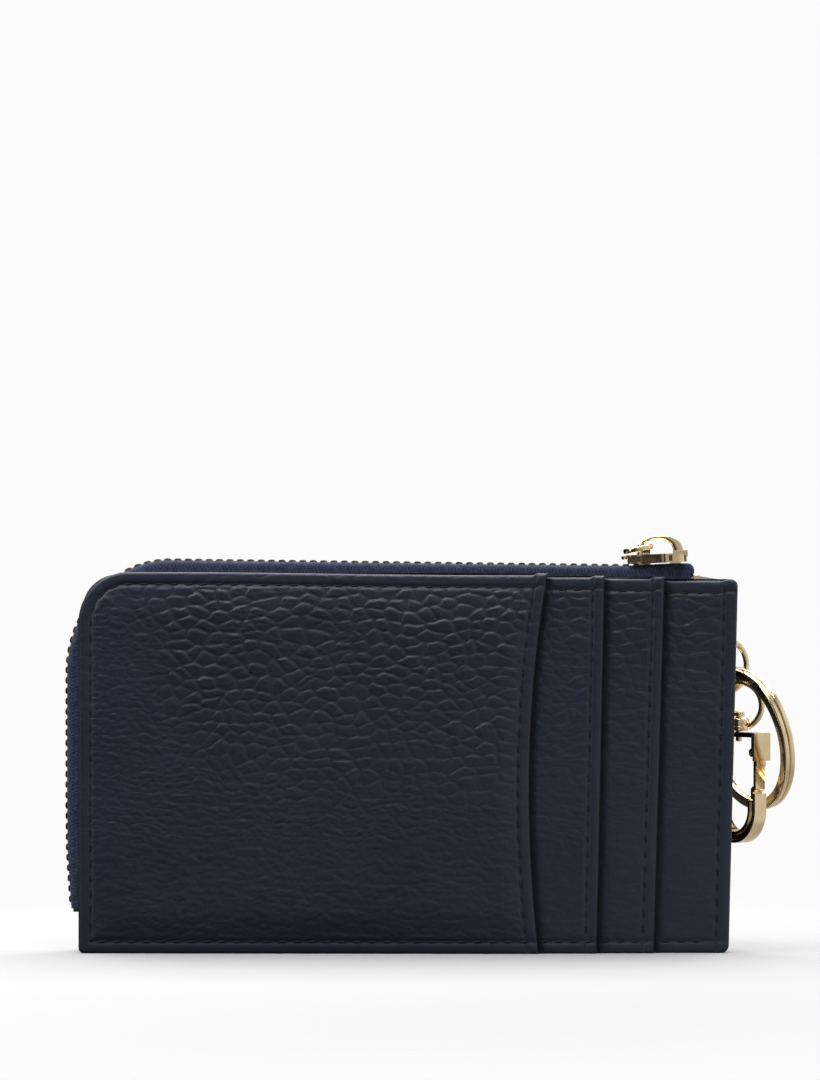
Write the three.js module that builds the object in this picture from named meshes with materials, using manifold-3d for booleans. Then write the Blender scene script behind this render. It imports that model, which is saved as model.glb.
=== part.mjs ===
// A slim zipped card holder, modelled standing on its long edge.
// Millimetres. +Z is up, +X runs along the width towards the hanging hardware,
// and -Y is the face with the card slots. The origin is on the bottom face.
import * as THREE from "three";
import { mergeVertices } from "three/addons/utils/BufferGeometryUtils.js";
import Module from "manifold-3d";

// ---------------------------------------------------------------- driving dimensions

const GAP = 0.3; // between neighbouring pieces
const LEATHER = 0.9; // one leather ply of the slot face
const LINING = 0.5;

const BODY = {
  left: -65.8,
  rightAtTop: 65.9,
  rightAtFoot: 64.0,
  height: 76.1,
  cornerRadius: 10, // upper left corner
  footRadius: 0.8, // lower left corner
};

// Inside faces of the two walls.
const FRONT_INSIDE = -0.3;
const BACK_INSIDE = 4.4;
const BACK_PANEL = 1.0; // thickness
const PINCH = { start: 56, end: 65.5, depth: 4.4 }; // where the back wall comes in to the seam

// Open edges of the card slots: place in X at the top and at the foot, and the height of each ply.
const SLOTS = {
  pocket: { top: 27.85, waist: 24.15, foot: 26.0, waistHeight: 33, height: 76.1 },
  middle: { top: 39.2, foot: 37.6, height: 75.3 },
  right: { top: 51.2, foot: 49.0, height: 75.1 },
  base: { height: 74.5 },
};
const BACK_HEIGHT = 75.6;
const GUSSET = { left: -63, right: 60, thickness: 1.3 };

// The zip's crest line: along the top, round a wide corner, and down the left side.
const ZIP = {
  middle: 2.1, // its centre plane in Y
  right: { x: 56.5, z: 77.56 },
  bend: { x: -46.6, z: 54.5, width: 22, height: 24.34 },
  end: { x: -68.1, z: 9.4 },
  pitch: 2.09,
  toothTop: 0,
  toothValley: -0.45,
  toothFoot: -1.3,
  slit: 0.5, // half of the slit between the two rows
  toothReach: 1.1, // how far a tooth reaches from the centre plane
};

// One tape in section: how far out from the crest, and how far from the centre plane.
const TAPE_SECTION = [
  [-9, 1.7],
  [-1.6, 1.7],
  [-1.15, 1.45],
  [-1.0, 1.25],
  [-0.5, 1.25],
  [-0.62, 1.6],
  [-1.0, 1.98],
  [-1.5, 2.1],
  [-9, 2.1],
];
const STOPS = {
  half: 1.3,
  right: { x: [56.95, 58.2], z: [74.4, 75.5] },
  left: { x: [-68.4, -66.2], z: [7.9, 9.05] },
};

const SLIDER = {
  left: 43.4,
  right: 56.0,
  plateFoot: 77.95,
  plateTop: 79.75,
  tailHalf: 2.8,
  noseHalf: 3.7,
  rimDepth: 0.6, // how far the rim hangs below the upper plate
  rimInner: 2.45,
  lowerTop: 75.75, // the lower plate, between the tapes
  lowerHalf: 1.3,
  lowerThickness: 1.3,
  postHalf: 0.3,
  post: { from: 3.6, to: 1.4 }, // distances from the right end
};
const CROWN = { left: 46.8, right: 55.1, top: 83.4, band: 0.9, rightLeg: 2.0, leftLeg: 1.1, width: 2.0 };
const LINK = { x: 46.9, y: 3.6, z: 80.7, halfWidth: 2.6, halfLength: 4.1, corner: 1.0, wire: 0.5 };
const PULLER = { eye: 1.5, bore: 0.85, eyeWidth: 2.8, neck: 4.6, width: 6.6, length: 16.5, thickness: 1.2 };

const D_RING = {
  bar: new THREE.Vector3(61.3, 6.6, 57.1),
  reach: 3.3, // from the bar to the centre of the bow
  radius: 5.2, // of the wire's centre line
  wire: 0.55,
  turn: THREE.MathUtils.degToRad(38),
};
const KEY_TAB = { start: 47.5, height: 8, strap: 1.0, bore: 0.9 };
const KEY_RING = {
  top: new THREE.Vector3(65.85, 10.15, 55.75), // the centre of its section where it hangs
  normal: new THREE.Vector3(-0.895, -0.39, -0.215),
  radius: 13.67,
  radial: 2.06,
  axial: 2.2,
};
const EYE = { x: 66.4, y: 9.3, z: 49.25, radius: 4.7, wire: 0.52, turn: THREE.MathUtils.degToRad(-15) };
const COLLAR = { radius: 2.1, foot: 44.1, top: 46.65, bore: 0.95 };
const PIN = { radius: 0.65, headRadius: 1.15, headFoot: 46.9, headTop: 48.1, foot: 41.9 };
const HOOK = {
  turn: THREE.MathUtils.degToRad(-52),
  thickness: 3.0,
  half: 6.8,
  arm: 2.3, // width of the bow
  top: 43.8,
  bar: 2.5, // depth of the bar under the swivel
  bowHeight: 28.3, // centre of the bow
  nose: 30.2,
  lip: 31.6,
  lipWidth: 0.7,
};
const KNUCKLE = { x: 5.1, z: 39.8, radius: 1.7, bore: 0.6, slot: 2.0, pin: 0.4 };
const GATE = { width: 2.2, tip: 30.5, tongueFrom: -0.9, tongueTo: -0.1, thickness: 2.6 };
const SPRING = { radius: 0.78, wire: 0.12, turns: 2.5, from: 0.15, pitch: 0.28 };

// ---------------------------------------------------------------- materials

function finish(color, roughness, metalness = 0) {
  return new THREE.MeshStandardMaterial({ color, roughness, metalness });
}

const LEATHER_FINISH = finish(0x262b38, 0.55);
const LINING_FINISH = finish(0x1d2027, 0.9);
const TAPE_FINISH = finish(0x323a4e, 0.85);
const TEETH_FINISH = finish(0x6b5a3c, 0.35, 1);
const GOLD_FINISH = finish(0xd8b878, 0.22, 1);
const STEEL_FINISH = finish(0xb9b4a8, 0.3, 1);

// ---------------------------------------------------------------- solids

const wasm = await Module();
wasm.setup();

function solidOf(geometry) {
  const bare = geometry.clone();
  bare.deleteAttribute("normal");
  bare.deleteAttribute("uv");
  const merged = mergeVertices(bare, 1e-4);
  const vertProperties = new Float32Array(merged.attributes.position.array);
  const triVerts = new Uint32Array(merged.index.array);
  return new wasm.Manifold(new wasm.Mesh({ numProp: 3, vertProperties, triVerts }));
}

function geometryOf(solid) {
  const mesh = solid.getMesh();
  return closedGeometry(Array.from(mesh.vertProperties), Array.from(mesh.triVerts));
}

function closedGeometry(positions, indices) {
  const geometry = new THREE.BufferGeometry();
  geometry.setAttribute("position", new THREE.Float32BufferAttribute(positions, 3));
  geometry.setIndex(indices);
  geometry.computeVertexNormals();
  return geometry;
}

const joined = (first, ...others) =>
  geometryOf(others.reduce((solid, other) => solid.add(solidOf(other)), solidOf(first)));
const cut = (from, ...tools) =>
  geometryOf(tools.reduce((solid, tool) => solid.subtract(solidOf(tool)), solidOf(from)));

// Turns a shape's own plane (x, y, depth) to two directions of the part.
function placed(geometry, origin, right, up) {
  const out = new THREE.Vector3().crossVectors(right, up);
  const matrix = new THREE.Matrix4().makeBasis(right, up, out).setPosition(origin);
  return geometry.applyMatrix4(matrix);
}

const X = new THREE.Vector3(1, 0, 0);
const Y = new THREE.Vector3(0, 1, 0);
const Z = new THREE.Vector3(0, 0, 1);
const ORIGIN = new THREE.Vector3();
const heading = (angle) => new THREE.Vector3(Math.cos(angle), Math.sin(angle), 0);

// A section of [outward, depth] points carried along a flat path. The path has its outside on its right.
function sweep(path, section, stations, closed, outwardAt = (outward) => outward) {
  const ring = section.length;
  const rows = closed ? stations.length - 1 : stations.length;
  const positions = [];
  for (let row = 0; row < rows; row++) {
    const point = path.getPointAt(stations[row]);
    const tangent = path.getTangentAt(stations[row]);
    for (const [outward, depth] of section) {
      const reach = outwardAt(outward, row);
      positions.push(point.x + tangent.y * reach, point.y - tangent.x * reach, depth);
    }
  }
  const indices = [];
  const walls = closed ? rows : rows - 1;
  for (let row = 0; row < walls; row++)
    for (let side = 0; side < ring; side++) {
      const next = (side + 1) % ring;
      const here = row * ring;
      const there = ((row + 1) % rows) * ring;
      indices.push(here + side, there + next, here + next);
      indices.push(here + side, there + side, there + next);
    }
  if (!closed) {
    const outline = section.map(([outward, depth]) => new THREE.Vector2(outward, depth));
    for (const [a, b, c] of THREE.ShapeUtils.triangulateShape(outline, [])) {
      const last = (rows - 1) * ring;
      indices.push(a, b, c);
      indices.push(last + a, last + c, last + b);
    }
  }
  return closedGeometry(positions, indices);
}

const evenly = (count) => Array.from({ length: count + 1 }, (_, i) => i / count);

function roundSection(radius, sides) {
  return evenly(sides)
    .slice(0, sides)
    .map((part) => [radius * Math.cos(2 * Math.PI * part), radius * Math.sin(2 * Math.PI * part)]);
}

function ringPath(radius) {
  return new THREE.Path().absarc(0, 0, radius, 0, 2 * Math.PI, false);
}

function cylinder(radius, from, to, sides = 20) {
  const geometry = new THREE.CylinderGeometry(radius, radius, to - from, sides);
  return geometry.rotateX(Math.PI / 2).translate(0, 0, (from + to) / 2);
}

function extruded(shape, from, to, curveSegments = 8) {
  const options = { depth: to - from, bevelEnabled: false, curveSegments };
  const geometry = new THREE.ExtrudeGeometry(shape, options);
  return geometry.translate(0, 0, from);
}

function box(x, y, z) {
  const geometry = new THREE.BoxGeometry(x[1] - x[0], y[1] - y[0], z[1] - z[0]);
  return geometry.translate((x[0] + x[1]) / 2, (y[0] + y[1]) / 2, (z[0] + z[1]) / 2);
}

// ---------------------------------------------------------------- the part

const cardHolder = new THREE.Group();

function piece(name, geometry, material) {
  const mesh = new THREE.Mesh(geometry, material);
  mesh.name = name;
  cardHolder.add(mesh);
}

// A plate ruled in X between its left and right edges, at each height of its rows.
function ruledPlate({ heights, left, right, columns, front, back }) {
  const positions = [];
  for (const face of [front, back])
    for (const z of heights)
      for (const part of columns) {
        const x = THREE.MathUtils.lerp(left(z), right(z), part);
        positions.push(x, face(x), z);
      }
  const wide = columns.length;
  const behind = heights.length * wide;
  const at = (row, column) => row * wide + column;
  const indices = [];
  for (let row = 0; row + 1 < heights.length; row++)
    for (let column = 0; column + 1 < wide; column++) {
      const [a, b] = [at(row, column), at(row, column + 1)];
      const [d, c] = [at(row + 1, column), at(row + 1, column + 1)];
      indices.push(a, b, c, a, c, d);
      indices.push(behind + a, behind + c, behind + b, behind + a, behind + d, behind + c);
    }
  const top = heights.length - 1;
  const rim = [];
  for (let column = 0; column < wide; column++) rim.push(at(0, column));
  for (let row = 1; row <= top; row++) rim.push(at(row, wide - 1));
  for (let column = wide - 2; column >= 0; column--) rim.push(at(top, column));
  for (let row = top - 1; row > 0; row--) rim.push(at(row, 0));
  rim.forEach((a, i) => {
    const b = rim[(i + 1) % rim.length];
    indices.push(a, behind + a, behind + b, a, behind + b, b);
  });
  return closedGeometry(positions, indices);
}

// Left edge of every wall ply: straight, with a small round at the foot and a large one at the top.
function leftEdge(height, inset = 0) {
  const { left, cornerRadius, footRadius } = BODY;
  return (z) => {
    const overCorner = Math.max(0, z - (height - cornerRadius + inset));
    const underFoot = Math.max(0, footRadius - z);
    const large = cornerRadius - inset;
    const corner = large - Math.sqrt(Math.max(0, large * large - overCorner * overCorner));
    const foot = footRadius - Math.sqrt(footRadius * footRadius - underFoot * underFoot);
    return left + inset + corner + foot;
  };
}

function wallHeights(height, foot = 0, inset = 0) {
  const large = BODY.cornerRadius - inset;
  const rounds = evenly(7).map((part) => height - large + large * Math.sin((part * Math.PI) / 2));
  const start = foot === 0 ? [0, BODY.footRadius * 0.3, BODY.footRadius] : [foot];
  const between = [12, 24, 36, 48, 58].map((percent) => (percent / 58) * (height - large - 6));
  return [...start, ...between, ...rounds];
}

const straightEdge = (atFoot, atTop) => (z) => atFoot + (atTop - atFoot) * (z / BODY.height);

function pocketEdge(z) {
  const { top, waist, foot, waistHeight, height } = SLOTS.pocket;
  if (z > waistHeight) return waist + (top - waist) * ((z - waistHeight) / (height - waistHeight)) ** 2;
  return waist + (foot - waist) * ((waistHeight - z) / waistHeight) ** 2;
}

function flatPly(layer, height, right) {
  const back = -1.1 - layer * (LEATHER + GAP);
  return ruledPlate({
    heights: wallHeights(height),
    columns: [0, 1],
    left: leftEdge(height),
    right,
    front: () => back - LEATHER,
    back: () => back,
  });
}

const rightEdge = straightEdge(BODY.rightAtFoot, BODY.rightAtTop);

function slotFace() {
  const { pocket, middle, right, base } = SLOTS;
  piece("front_pocket_panel", flatPly(3, pocket.height, pocketEdge), LEATHER_FINISH);
  const middleEdge = straightEdge(middle.foot, middle.top);
  piece("middle_slot_panel", flatPly(2, middle.height, middleEdge), LEATHER_FINISH);
  const lastEdge = straightEdge(right.foot, right.top);
  piece("right_slot_panel", flatPly(1, right.height, lastEdge), LEATHER_FINISH);
  piece("front_base_panel", flatPly(0, base.height, rightEdge), LEATHER_FINISH);
}

// How far the back wall has come in at a place along the width.
const pinchAt = (x) => PINCH.depth * THREE.MathUtils.smoothstep(x, PINCH.start, PINCH.end);
const LINING_INSET = 1.2;
const LINING_FOOT = GUSSET.thickness + GAP;

function walls() {
  const columns = [0, ...evenly(10).map((part) => 0.92 + 0.08 * part)];
  const liningEdges = {
    left: leftEdge(SLOTS.base.height - LINING_INSET, LINING_INSET),
    right: (z) => rightEdge(z) - LINING_INSET,
    heights: wallHeights(SLOTS.base.height - LINING_INSET, LINING_FOOT, LINING_INSET),
  };
  const frontLining = ruledPlate({
    ...liningEdges,
    columns: [0, 1],
    front: () => FRONT_INSIDE - LINING,
    back: () => FRONT_INSIDE,
  });
  const backLining = ruledPlate({
    ...liningEdges,
    columns,
    front: (x) => BACK_INSIDE - pinchAt(x),
    back: (x) => BACK_INSIDE + LINING - pinchAt(x),
  });
  const panelFront = BACK_INSIDE + LINING + GAP;
  const backPanel = ruledPlate({
    heights: wallHeights(BACK_HEIGHT),
    columns,
    left: leftEdge(BACK_HEIGHT),
    right: rightEdge,
    front: (x) => panelFront - pinchAt(x),
    back: (x) => panelFront + BACK_PANEL - pinchAt(x),
  });
  const gusset = ruledPlate({
    heights: [0, GUSSET.thickness],
    columns: [0, ...evenly(6).map((part) => 0.95 + 0.05 * part)],
    left: () => GUSSET.left,
    right: () => GUSSET.right,
    front: () => FRONT_INSIDE - LINING,
    back: (x) => BACK_INSIDE + LINING - pinchAt(x),
  });
  piece("front_lining", frontLining, LINING_FINISH);
  piece("back_lining", backLining, LINING_FINISH);
  piece("back_panel", backPanel, LEATHER_FINISH);
  piece("bottom_gusset", gusset, LEATHER_FINISH);
}

// The zip runs along the XZ plane: its sections are [outward from the crest, towards -Y].
function crestPath() {
  const { right, bend, end } = ZIP;
  return new THREE.Path()
    .moveTo(right.x, right.z)
    .lineTo(bend.x, bend.z + bend.height)
    .absellipse(bend.x, bend.z, bend.width, bend.height, Math.PI / 2, Math.PI, false)
    .lineTo(end.x, end.z);
}

const alongZip = (geometry) => placed(geometry, new THREE.Vector3(0, ZIP.middle, 0), X, Z);
const mirrored = (section) => section.map(([outward, depth]) => [outward, -depth]).reverse();

function zip() {
  const path = crestPath();
  const teeth = [
    [ZIP.toothFoot, ZIP.slit],
    [ZIP.toothTop, ZIP.slit],
    [ZIP.toothTop, ZIP.toothReach],
    [ZIP.toothFoot, ZIP.toothReach],
  ];
  const tapeStations = evenly(24);
  const teethCount = Math.round(path.getLength() / ZIP.pitch);
  const teethStations = evenly(teethCount * 2);
  const comb = (outward, row) => (outward === ZIP.toothTop && row % 2 ? ZIP.toothValley : outward);
  piece("zip_tape_front", alongZip(sweep(path, TAPE_SECTION, tapeStations, false)), TAPE_FINISH);
  const backTape = mirrored(TAPE_SECTION);
  piece("zip_tape_back", alongZip(sweep(path, backTape, tapeStations, false)), TAPE_FINISH);
  piece("zip_teeth_front", alongZip(sweep(path, teeth, teethStations, false, comb)), TEETH_FINISH);
  const backTeeth = mirrored(teeth);
  piece("zip_teeth_back", alongZip(sweep(path, backTeeth, teethStations, false, comb)), TEETH_FINISH);

  const stopSide = [ZIP.middle - STOPS.half, ZIP.middle + STOPS.half];
  piece("zip_top_stop", box(STOPS.right.x, stopSide, STOPS.right.z), GOLD_FINISH);
  piece("zip_bottom_stop", box(STOPS.left.x, stopSide, STOPS.left.z), TEETH_FINISH);
}

// Outline of a slider plate in XY: a narrow tail at the left, broad shoulders at the right.
function sliderOutline(tailHalf, noseHalf) {
  const { left, right } = SLIDER;
  const shape = new THREE.Shape().moveTo(left + 1, -tailHalf);
  shape.quadraticCurveTo(left + 5, -tailHalf, left + 7, -noseHalf);
  shape.lineTo(right - 2, -noseHalf);
  shape.quadraticCurveTo(right, -noseHalf, right, 0);
  shape.quadraticCurveTo(right, noseHalf, right - 2, noseHalf);
  shape.lineTo(left + 7, noseHalf);
  shape.quadraticCurveTo(left + 5, tailHalf, left + 1, tailHalf);
  shape.quadraticCurveTo(left, tailHalf, left, 0);
  shape.quadraticCurveTo(left, -tailHalf, left + 1, -tailHalf);
  return shape;
}

function slider() {
  const { left, right, plateFoot, plateTop, tailHalf, noseHalf } = SLIDER;
  const { rimDepth, rimInner, lowerTop, lowerHalf, lowerThickness, postHalf, post: span } = SLIDER;
  const plate = extruded(sliderOutline(tailHalf, noseHalf), plateFoot - rimDepth, plateTop);
  const channel = box([left - 1, right + 1], [-rimInner, rimInner], [plateFoot - 2, plateFoot]);
  const lower = extruded(sliderOutline(lowerHalf, lowerHalf + 0.05), lowerTop - lowerThickness, lowerTop);
  const postHeights = [lowerTop - 0.5, plateFoot + 0.5];
  const post = box([right - span.from, right - span.to], [-postHalf, postHalf], postHeights);
  const body = joined(cut(plate, channel), post, lower);
  piece("slider_body", body.translate(0, ZIP.middle, 0), GOLD_FINISH);
}

function crown() {
  const { left, right, top, band, leftLeg, rightLeg, width } = CROWN;
  const foot = SLIDER.plateTop + GAP;
  const bend = 1.4;
  const shape = new THREE.Shape().moveTo(left, foot);
  shape.lineTo(left + leftLeg, foot);
  shape.lineTo(left + leftLeg, top - band - 0.8);
  shape.quadraticCurveTo(left + leftLeg, top - band, left + leftLeg + 0.8, top - band);
  shape.lineTo(right - rightLeg - 0.8, top - band);
  shape.quadraticCurveTo(right - rightLeg, top - band, right - rightLeg, top - band - 0.8);
  shape.lineTo(right - rightLeg, foot);
  shape.lineTo(right, foot);
  shape.lineTo(right, top - bend);
  shape.quadraticCurveTo(right, top, right - bend, top);
  shape.lineTo(left + bend, top);
  shape.quadraticCurveTo(left, top, left, top - bend);
  const arch = extruded(shape, -width / 2, width / 2);
  piece("slider_crown", placed(arch, new THREE.Vector3(0, ZIP.middle, 0), X, Z), GOLD_FINISH);
}

function roundedRectangle(halfX, halfY, corner) {
  const path = new THREE.Path().moveTo(halfX, 0);
  path.lineTo(halfX, halfY - corner);
  path.absarc(halfX - corner, halfY - corner, corner, 0, Math.PI / 2, false);
  path.lineTo(-halfX + corner, halfY);
  path.absarc(-halfX + corner, halfY - corner, corner, Math.PI / 2, Math.PI, false);
  path.lineTo(-halfX, -halfY + corner);
  path.absarc(-halfX + corner, -halfY + corner, corner, Math.PI, 1.5 * Math.PI, false);
  path.lineTo(halfX - corner, -halfY);
  path.absarc(halfX - corner, -halfY + corner, corner, 1.5 * Math.PI, 2 * Math.PI, false);
  path.lineTo(halfX, 0);
  return path;
}

function puller() {
  const loop = roundedRectangle(LINK.halfWidth, LINK.halfLength, LINK.corner);
  const link = sweep(loop, roundSection(LINK.wire, 8), evenly(36), true);
  piece("puller_link", link.translate(LINK.x, LINK.y, LINK.z), GOLD_FINISH);

  const { eye, bore, eyeWidth, neck, width, length, thickness } = PULLER;
  const half = thickness / 2;
  const knuckle = new THREE.Shape().absarc(0, 0, eye, 0, 2 * Math.PI, false);
  knuckle.holes.push(new THREE.Path().absarc(0, 0, bore, 0, 2 * Math.PI, true));
  const neckPlate = box([-half, half], [-neck - 1, -bore - 0.35], [-eyeWidth / 2, eyeWidth / 2]);
  const head = joined(extruded(knuckle, -eyeWidth / 2, eyeWidth / 2, 12), neckPlate);
  const back = new THREE.Vector3(LINK.x, LINK.y + LINK.halfLength, LINK.z);
  placed(head, back, Y, Z);
  const outline = new THREE.Shape(roundedRectangle(width / 2, (length - neck) / 2, 2.2).getPoints(6));
  const blade = placed(extruded(outline, -half, half), back, X, Z).translate(0, 0, -(length + neck) / 2);
  piece("puller_tab", joined(head, blade), GOLD_FINISH);
}

// The leather strap lies on the back panel, turns round the ring's bar and comes back over itself.
function keyTab() {
  const { bar } = D_RING;
  const { start, height, strap, bore } = KEY_TAB;
  const over = BACK_INSIDE + LINING + GAP + BACK_PANEL + GAP + strap;
  const spine = new THREE.CatmullRomCurve3([
    new THREE.Vector3(start, over, 0),
    new THREE.Vector3(52, over, 0),
    new THREE.Vector3(56.5, over - 0.1, 0),
    new THREE.Vector3(bar.x - 0.4, bar.y + 0.25, 0),
  ]);
  const shape = new THREE.Shape();
  const points = spine.getPoints(12);
  const side = (sign) =>
    points.map((point, i) => {
      const tangent = spine.getTangent(i / 12);
      return new THREE.Vector2(point.x - sign * tangent.y * strap, point.y + sign * tangent.x * strap);
    });
  shape.setFromPoints([...side(-1), ...side(1).reverse()]);
  const lower = bar.z - height / 2;
  const upper = bar.z + height / 2;
  const loop = cylinder(bore + strap, lower, upper).translate(bar.x, bar.y, 0);
  const hole = cylinder(bore, lower - 1, upper + 1).translate(bar.x, bar.y, 0);
  piece("key_tab", cut(joined(extruded(shape, lower, upper), loop), hole), LEATHER_FINISH);
}

function dRing() {
  const { bar, reach, radius, wire, turn } = D_RING;
  const bend = 1.3;
  const path = new THREE.Path().moveTo(0, 0);
  path.lineTo(0, -radius + bend);
  path.absarc(bend, -radius + bend, bend, Math.PI, 1.5 * Math.PI, false);
  path.lineTo(reach, -radius);
  path.absarc(reach, 0, radius, -Math.PI / 2, Math.PI / 2, false);
  path.lineTo(bend, radius);
  path.absarc(bend, radius - bend, bend, Math.PI / 2, Math.PI, false);
  path.lineTo(0, 0);
  const ring = sweep(path, roundSection(wire, 8), evenly(46), true);
  piece("d_ring", placed(ring, bar, heading(turn), Z), GOLD_FINISH);
}

function keyRing() {
  const { top, normal, radius, radial, axial } = KEY_RING;
  const [a, b, chamfer] = [radial / 2, axial / 2, 0.35];
  const section = [
    [a, -b + chamfer],
    [a, b - chamfer],
    [a - chamfer, b],
    [-a + chamfer, b],
    [-a, b - chamfer],
    [-a, -b + chamfer],
    [-a + chamfer, -b],
    [a - chamfer, -b],
  ];
  const ring = sweep(ringPath(radius), section, evenly(48), true);
  const out = normal.clone().normalize();
  const up = Z.clone().addScaledVector(out, -out.z).normalize();
  const right = new THREE.Vector3().crossVectors(up, out);
  const centre = top.clone().addScaledVector(up, -radius);
  piece("key_ring", placed(ring, centre, right, up), GOLD_FINISH);
}

function swivel() {
  const { x, y, z, radius, wire, turn } = EYE;
  const across = new THREE.Vector3(x, y, 0);
  const loop = placed(
    sweep(ringPath(radius), roundSection(wire, 8), evenly(32), true),
    new THREE.Vector3(x, y, z),
    heading(turn),
    Z,
  );
  const collar = cylinder(COLLAR.radius, COLLAR.foot, COLLAR.top, 24).translate(across.x, across.y, 0);
  const bore = cylinder(COLLAR.bore, COLLAR.foot - 2, COLLAR.top + 1).translate(across.x, across.y, 0);
  piece("swivel_eye", cut(joined(loop, collar), bore), GOLD_FINISH);

  const profile = [
    [0, PIN.foot],
    [PIN.radius, PIN.foot],
    [PIN.radius, PIN.headFoot],
    [PIN.headRadius, PIN.headFoot],
    [PIN.headRadius, PIN.headTop - 0.5],
    [PIN.headRadius * 0.6, PIN.headTop],
    [0, PIN.headTop],
  ].map(([r, height]) => new THREE.Vector2(r, height));
  const pin = new THREE.LatheGeometry(profile, 20).rotateX(Math.PI / 2);
  piece("swivel_pin", pin.translate(across.x, across.y, 0), GOLD_FINISH);
}

const inHook = (geometry) => placed(geometry, new THREE.Vector3(EYE.x, EYE.y, 0), heading(HOOK.turn), Z);

function hookOutline() {
  const { half, arm, top, bar, bowHeight, nose, lip, lipWidth } = HOOK;
  const { x: pivot, z: pivotHeight, radius } = KNUCKLE;
  const inner = half - arm;
  const shape = new THREE.Shape().moveTo(half, bowHeight);
  shape.lineTo(half, lip);
  shape.lineTo(half - lipWidth, lip);
  shape.lineTo(half - lipWidth, nose);
  shape.lineTo(inner, nose);
  shape.lineTo(inner, bowHeight);
  shape.absarc(0, bowHeight, inner, 0, -Math.PI, true);
  shape.lineTo(-inner, top - bar - 2);
  shape.quadraticCurveTo(-inner, top - bar, -inner + 2, top - bar);
  shape.lineTo(pivot - radius, top - bar);
  shape.lineTo(pivot - radius, pivotHeight);
  shape.absarc(pivot, pivotHeight, radius, Math.PI, 2 * Math.PI, false);
  shape.lineTo(pivot + radius, top - 1);
  shape.lineTo(pivot + radius - 1, top);
  shape.lineTo(-half + 2.4, top);
  shape.quadraticCurveTo(-half, top, -half, top - 3);
  shape.lineTo(-half, bowHeight);
  shape.absarc(0, bowHeight, half, -Math.PI, 0, false);
  return shape;
}

function hook() {
  const { thickness, half, top } = HOOK;
  const { x: pivot, z: pivotHeight, radius, bore, slot } = KNUCKLE;
  const body = extruded(hookOutline(), -thickness / 2, thickness / 2, 12);
  const forkHeights = [pivotHeight - radius - 1, top - 1.1];
  const fork = box([pivot - radius - 1, half + 1], forkHeights, [-slot / 2, slot / 2]);
  const pivotHole = cylinder(bore, -thickness, thickness).translate(pivot, pivotHeight, 0);
  const pinHole = cylinder(COLLAR.bore, PIN.foot - GAP, top + 1).rotateX(-Math.PI / 2);
  const openRoof = box([-COLLAR.bore, COLLAR.bore], [top - 2.6, PIN.foot], [-COLLAR.bore, COLLAR.bore]);
  piece("hook_body", inHook(cut(body, fork, pivotHole, pinHole, openRoof)), GOLD_FINISH);

  const pinLength = thickness / 2 - 0.05;
  const pivotPin = cylinder(KNUCKLE.pin, -pinLength, pinLength, 16).translate(pivot, pivotHeight, 0);
  piece("gate_pin", inHook(pivotPin), STEEL_FINISH);
}

function gate() {
  const { width, tip, tongueFrom, tongueTo, thickness } = GATE;
  const { x: pivot, z: pivotHeight, radius, bore } = KNUCKLE;
  const clearance = radius + GAP;
  const inner = HOOK.half - width - 0.1;
  const outer = HOOK.half - 0.1;
  const behindLip = HOOK.half - HOOK.lipWidth - GAP;
  const blade = new THREE.Shape().moveTo(inner, tip);
  blade.lineTo(behindLip, tip);
  blade.lineTo(behindLip, HOOK.lip + GAP);
  blade.lineTo(outer, HOOK.lip + GAP + 0.6);
  blade.lineTo(outer, pivotHeight - 1);
  blade.lineTo(inner, pivotHeight - 1);
  const reachAll = cylinder(clearance, -thickness, thickness, 28).translate(pivot, pivotHeight, 0);
  const lowered = cut(extruded(blade, -thickness / 2, thickness / 2), reachAll);
  const tongue = cylinder(radius - 0.15, tongueFrom, tongueTo, 24).translate(pivot, pivotHeight, 0);
  const stalkHeights = [pivotHeight - clearance - 1, pivotHeight];
  const stalk = box([inner + 0.2, pivot + radius - 0.5], stalkHeights, [tongueFrom, tongueTo]);
  const hole = cylinder(bore, -thickness, thickness).translate(pivot, pivotHeight, 0);
  piece("hook_gate", inHook(cut(joined(lowered, tongue, stalk), hole)), GOLD_FINISH);
}

class Coil extends THREE.Curve {
  getPoint(part, target = new THREE.Vector3()) {
    const angle = 2 * Math.PI * SPRING.turns * part;
    const depth = SPRING.from + SPRING.pitch * SPRING.turns * part;
    return target.set(SPRING.radius * Math.cos(angle), SPRING.radius * Math.sin(angle), depth);
  }
}

function gateSpring() {
  const section = new THREE.Shape(roundSection(SPRING.wire, 6).map(([a, b]) => new THREE.Vector2(a, b)));
  const options = { steps: Math.round(SPRING.turns * 14), extrudePath: new Coil() };
  const coil = new THREE.ExtrudeGeometry(section, options);
  piece("gate_spring", inHook(coil.translate(KNUCKLE.x, KNUCKLE.z, 0)), STEEL_FINISH);
}

slotFace();
walls();
zip();
slider();
crown();
puller();
keyTab();
dRing();
keyRing();
swivel();
hook();
gate();
gateSpring();

export default cardHolder;
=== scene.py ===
"""Looks of a zipped leather card holder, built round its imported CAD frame.

Shapes are worked out in millimetres and become metres when a mesh is made.
+X runs along the width towards the key hardware, -Y is the face with the card slots.
"""

import math

import bmesh
import bpy
import numpy as np
from mathutils import Matrix, Vector


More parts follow.
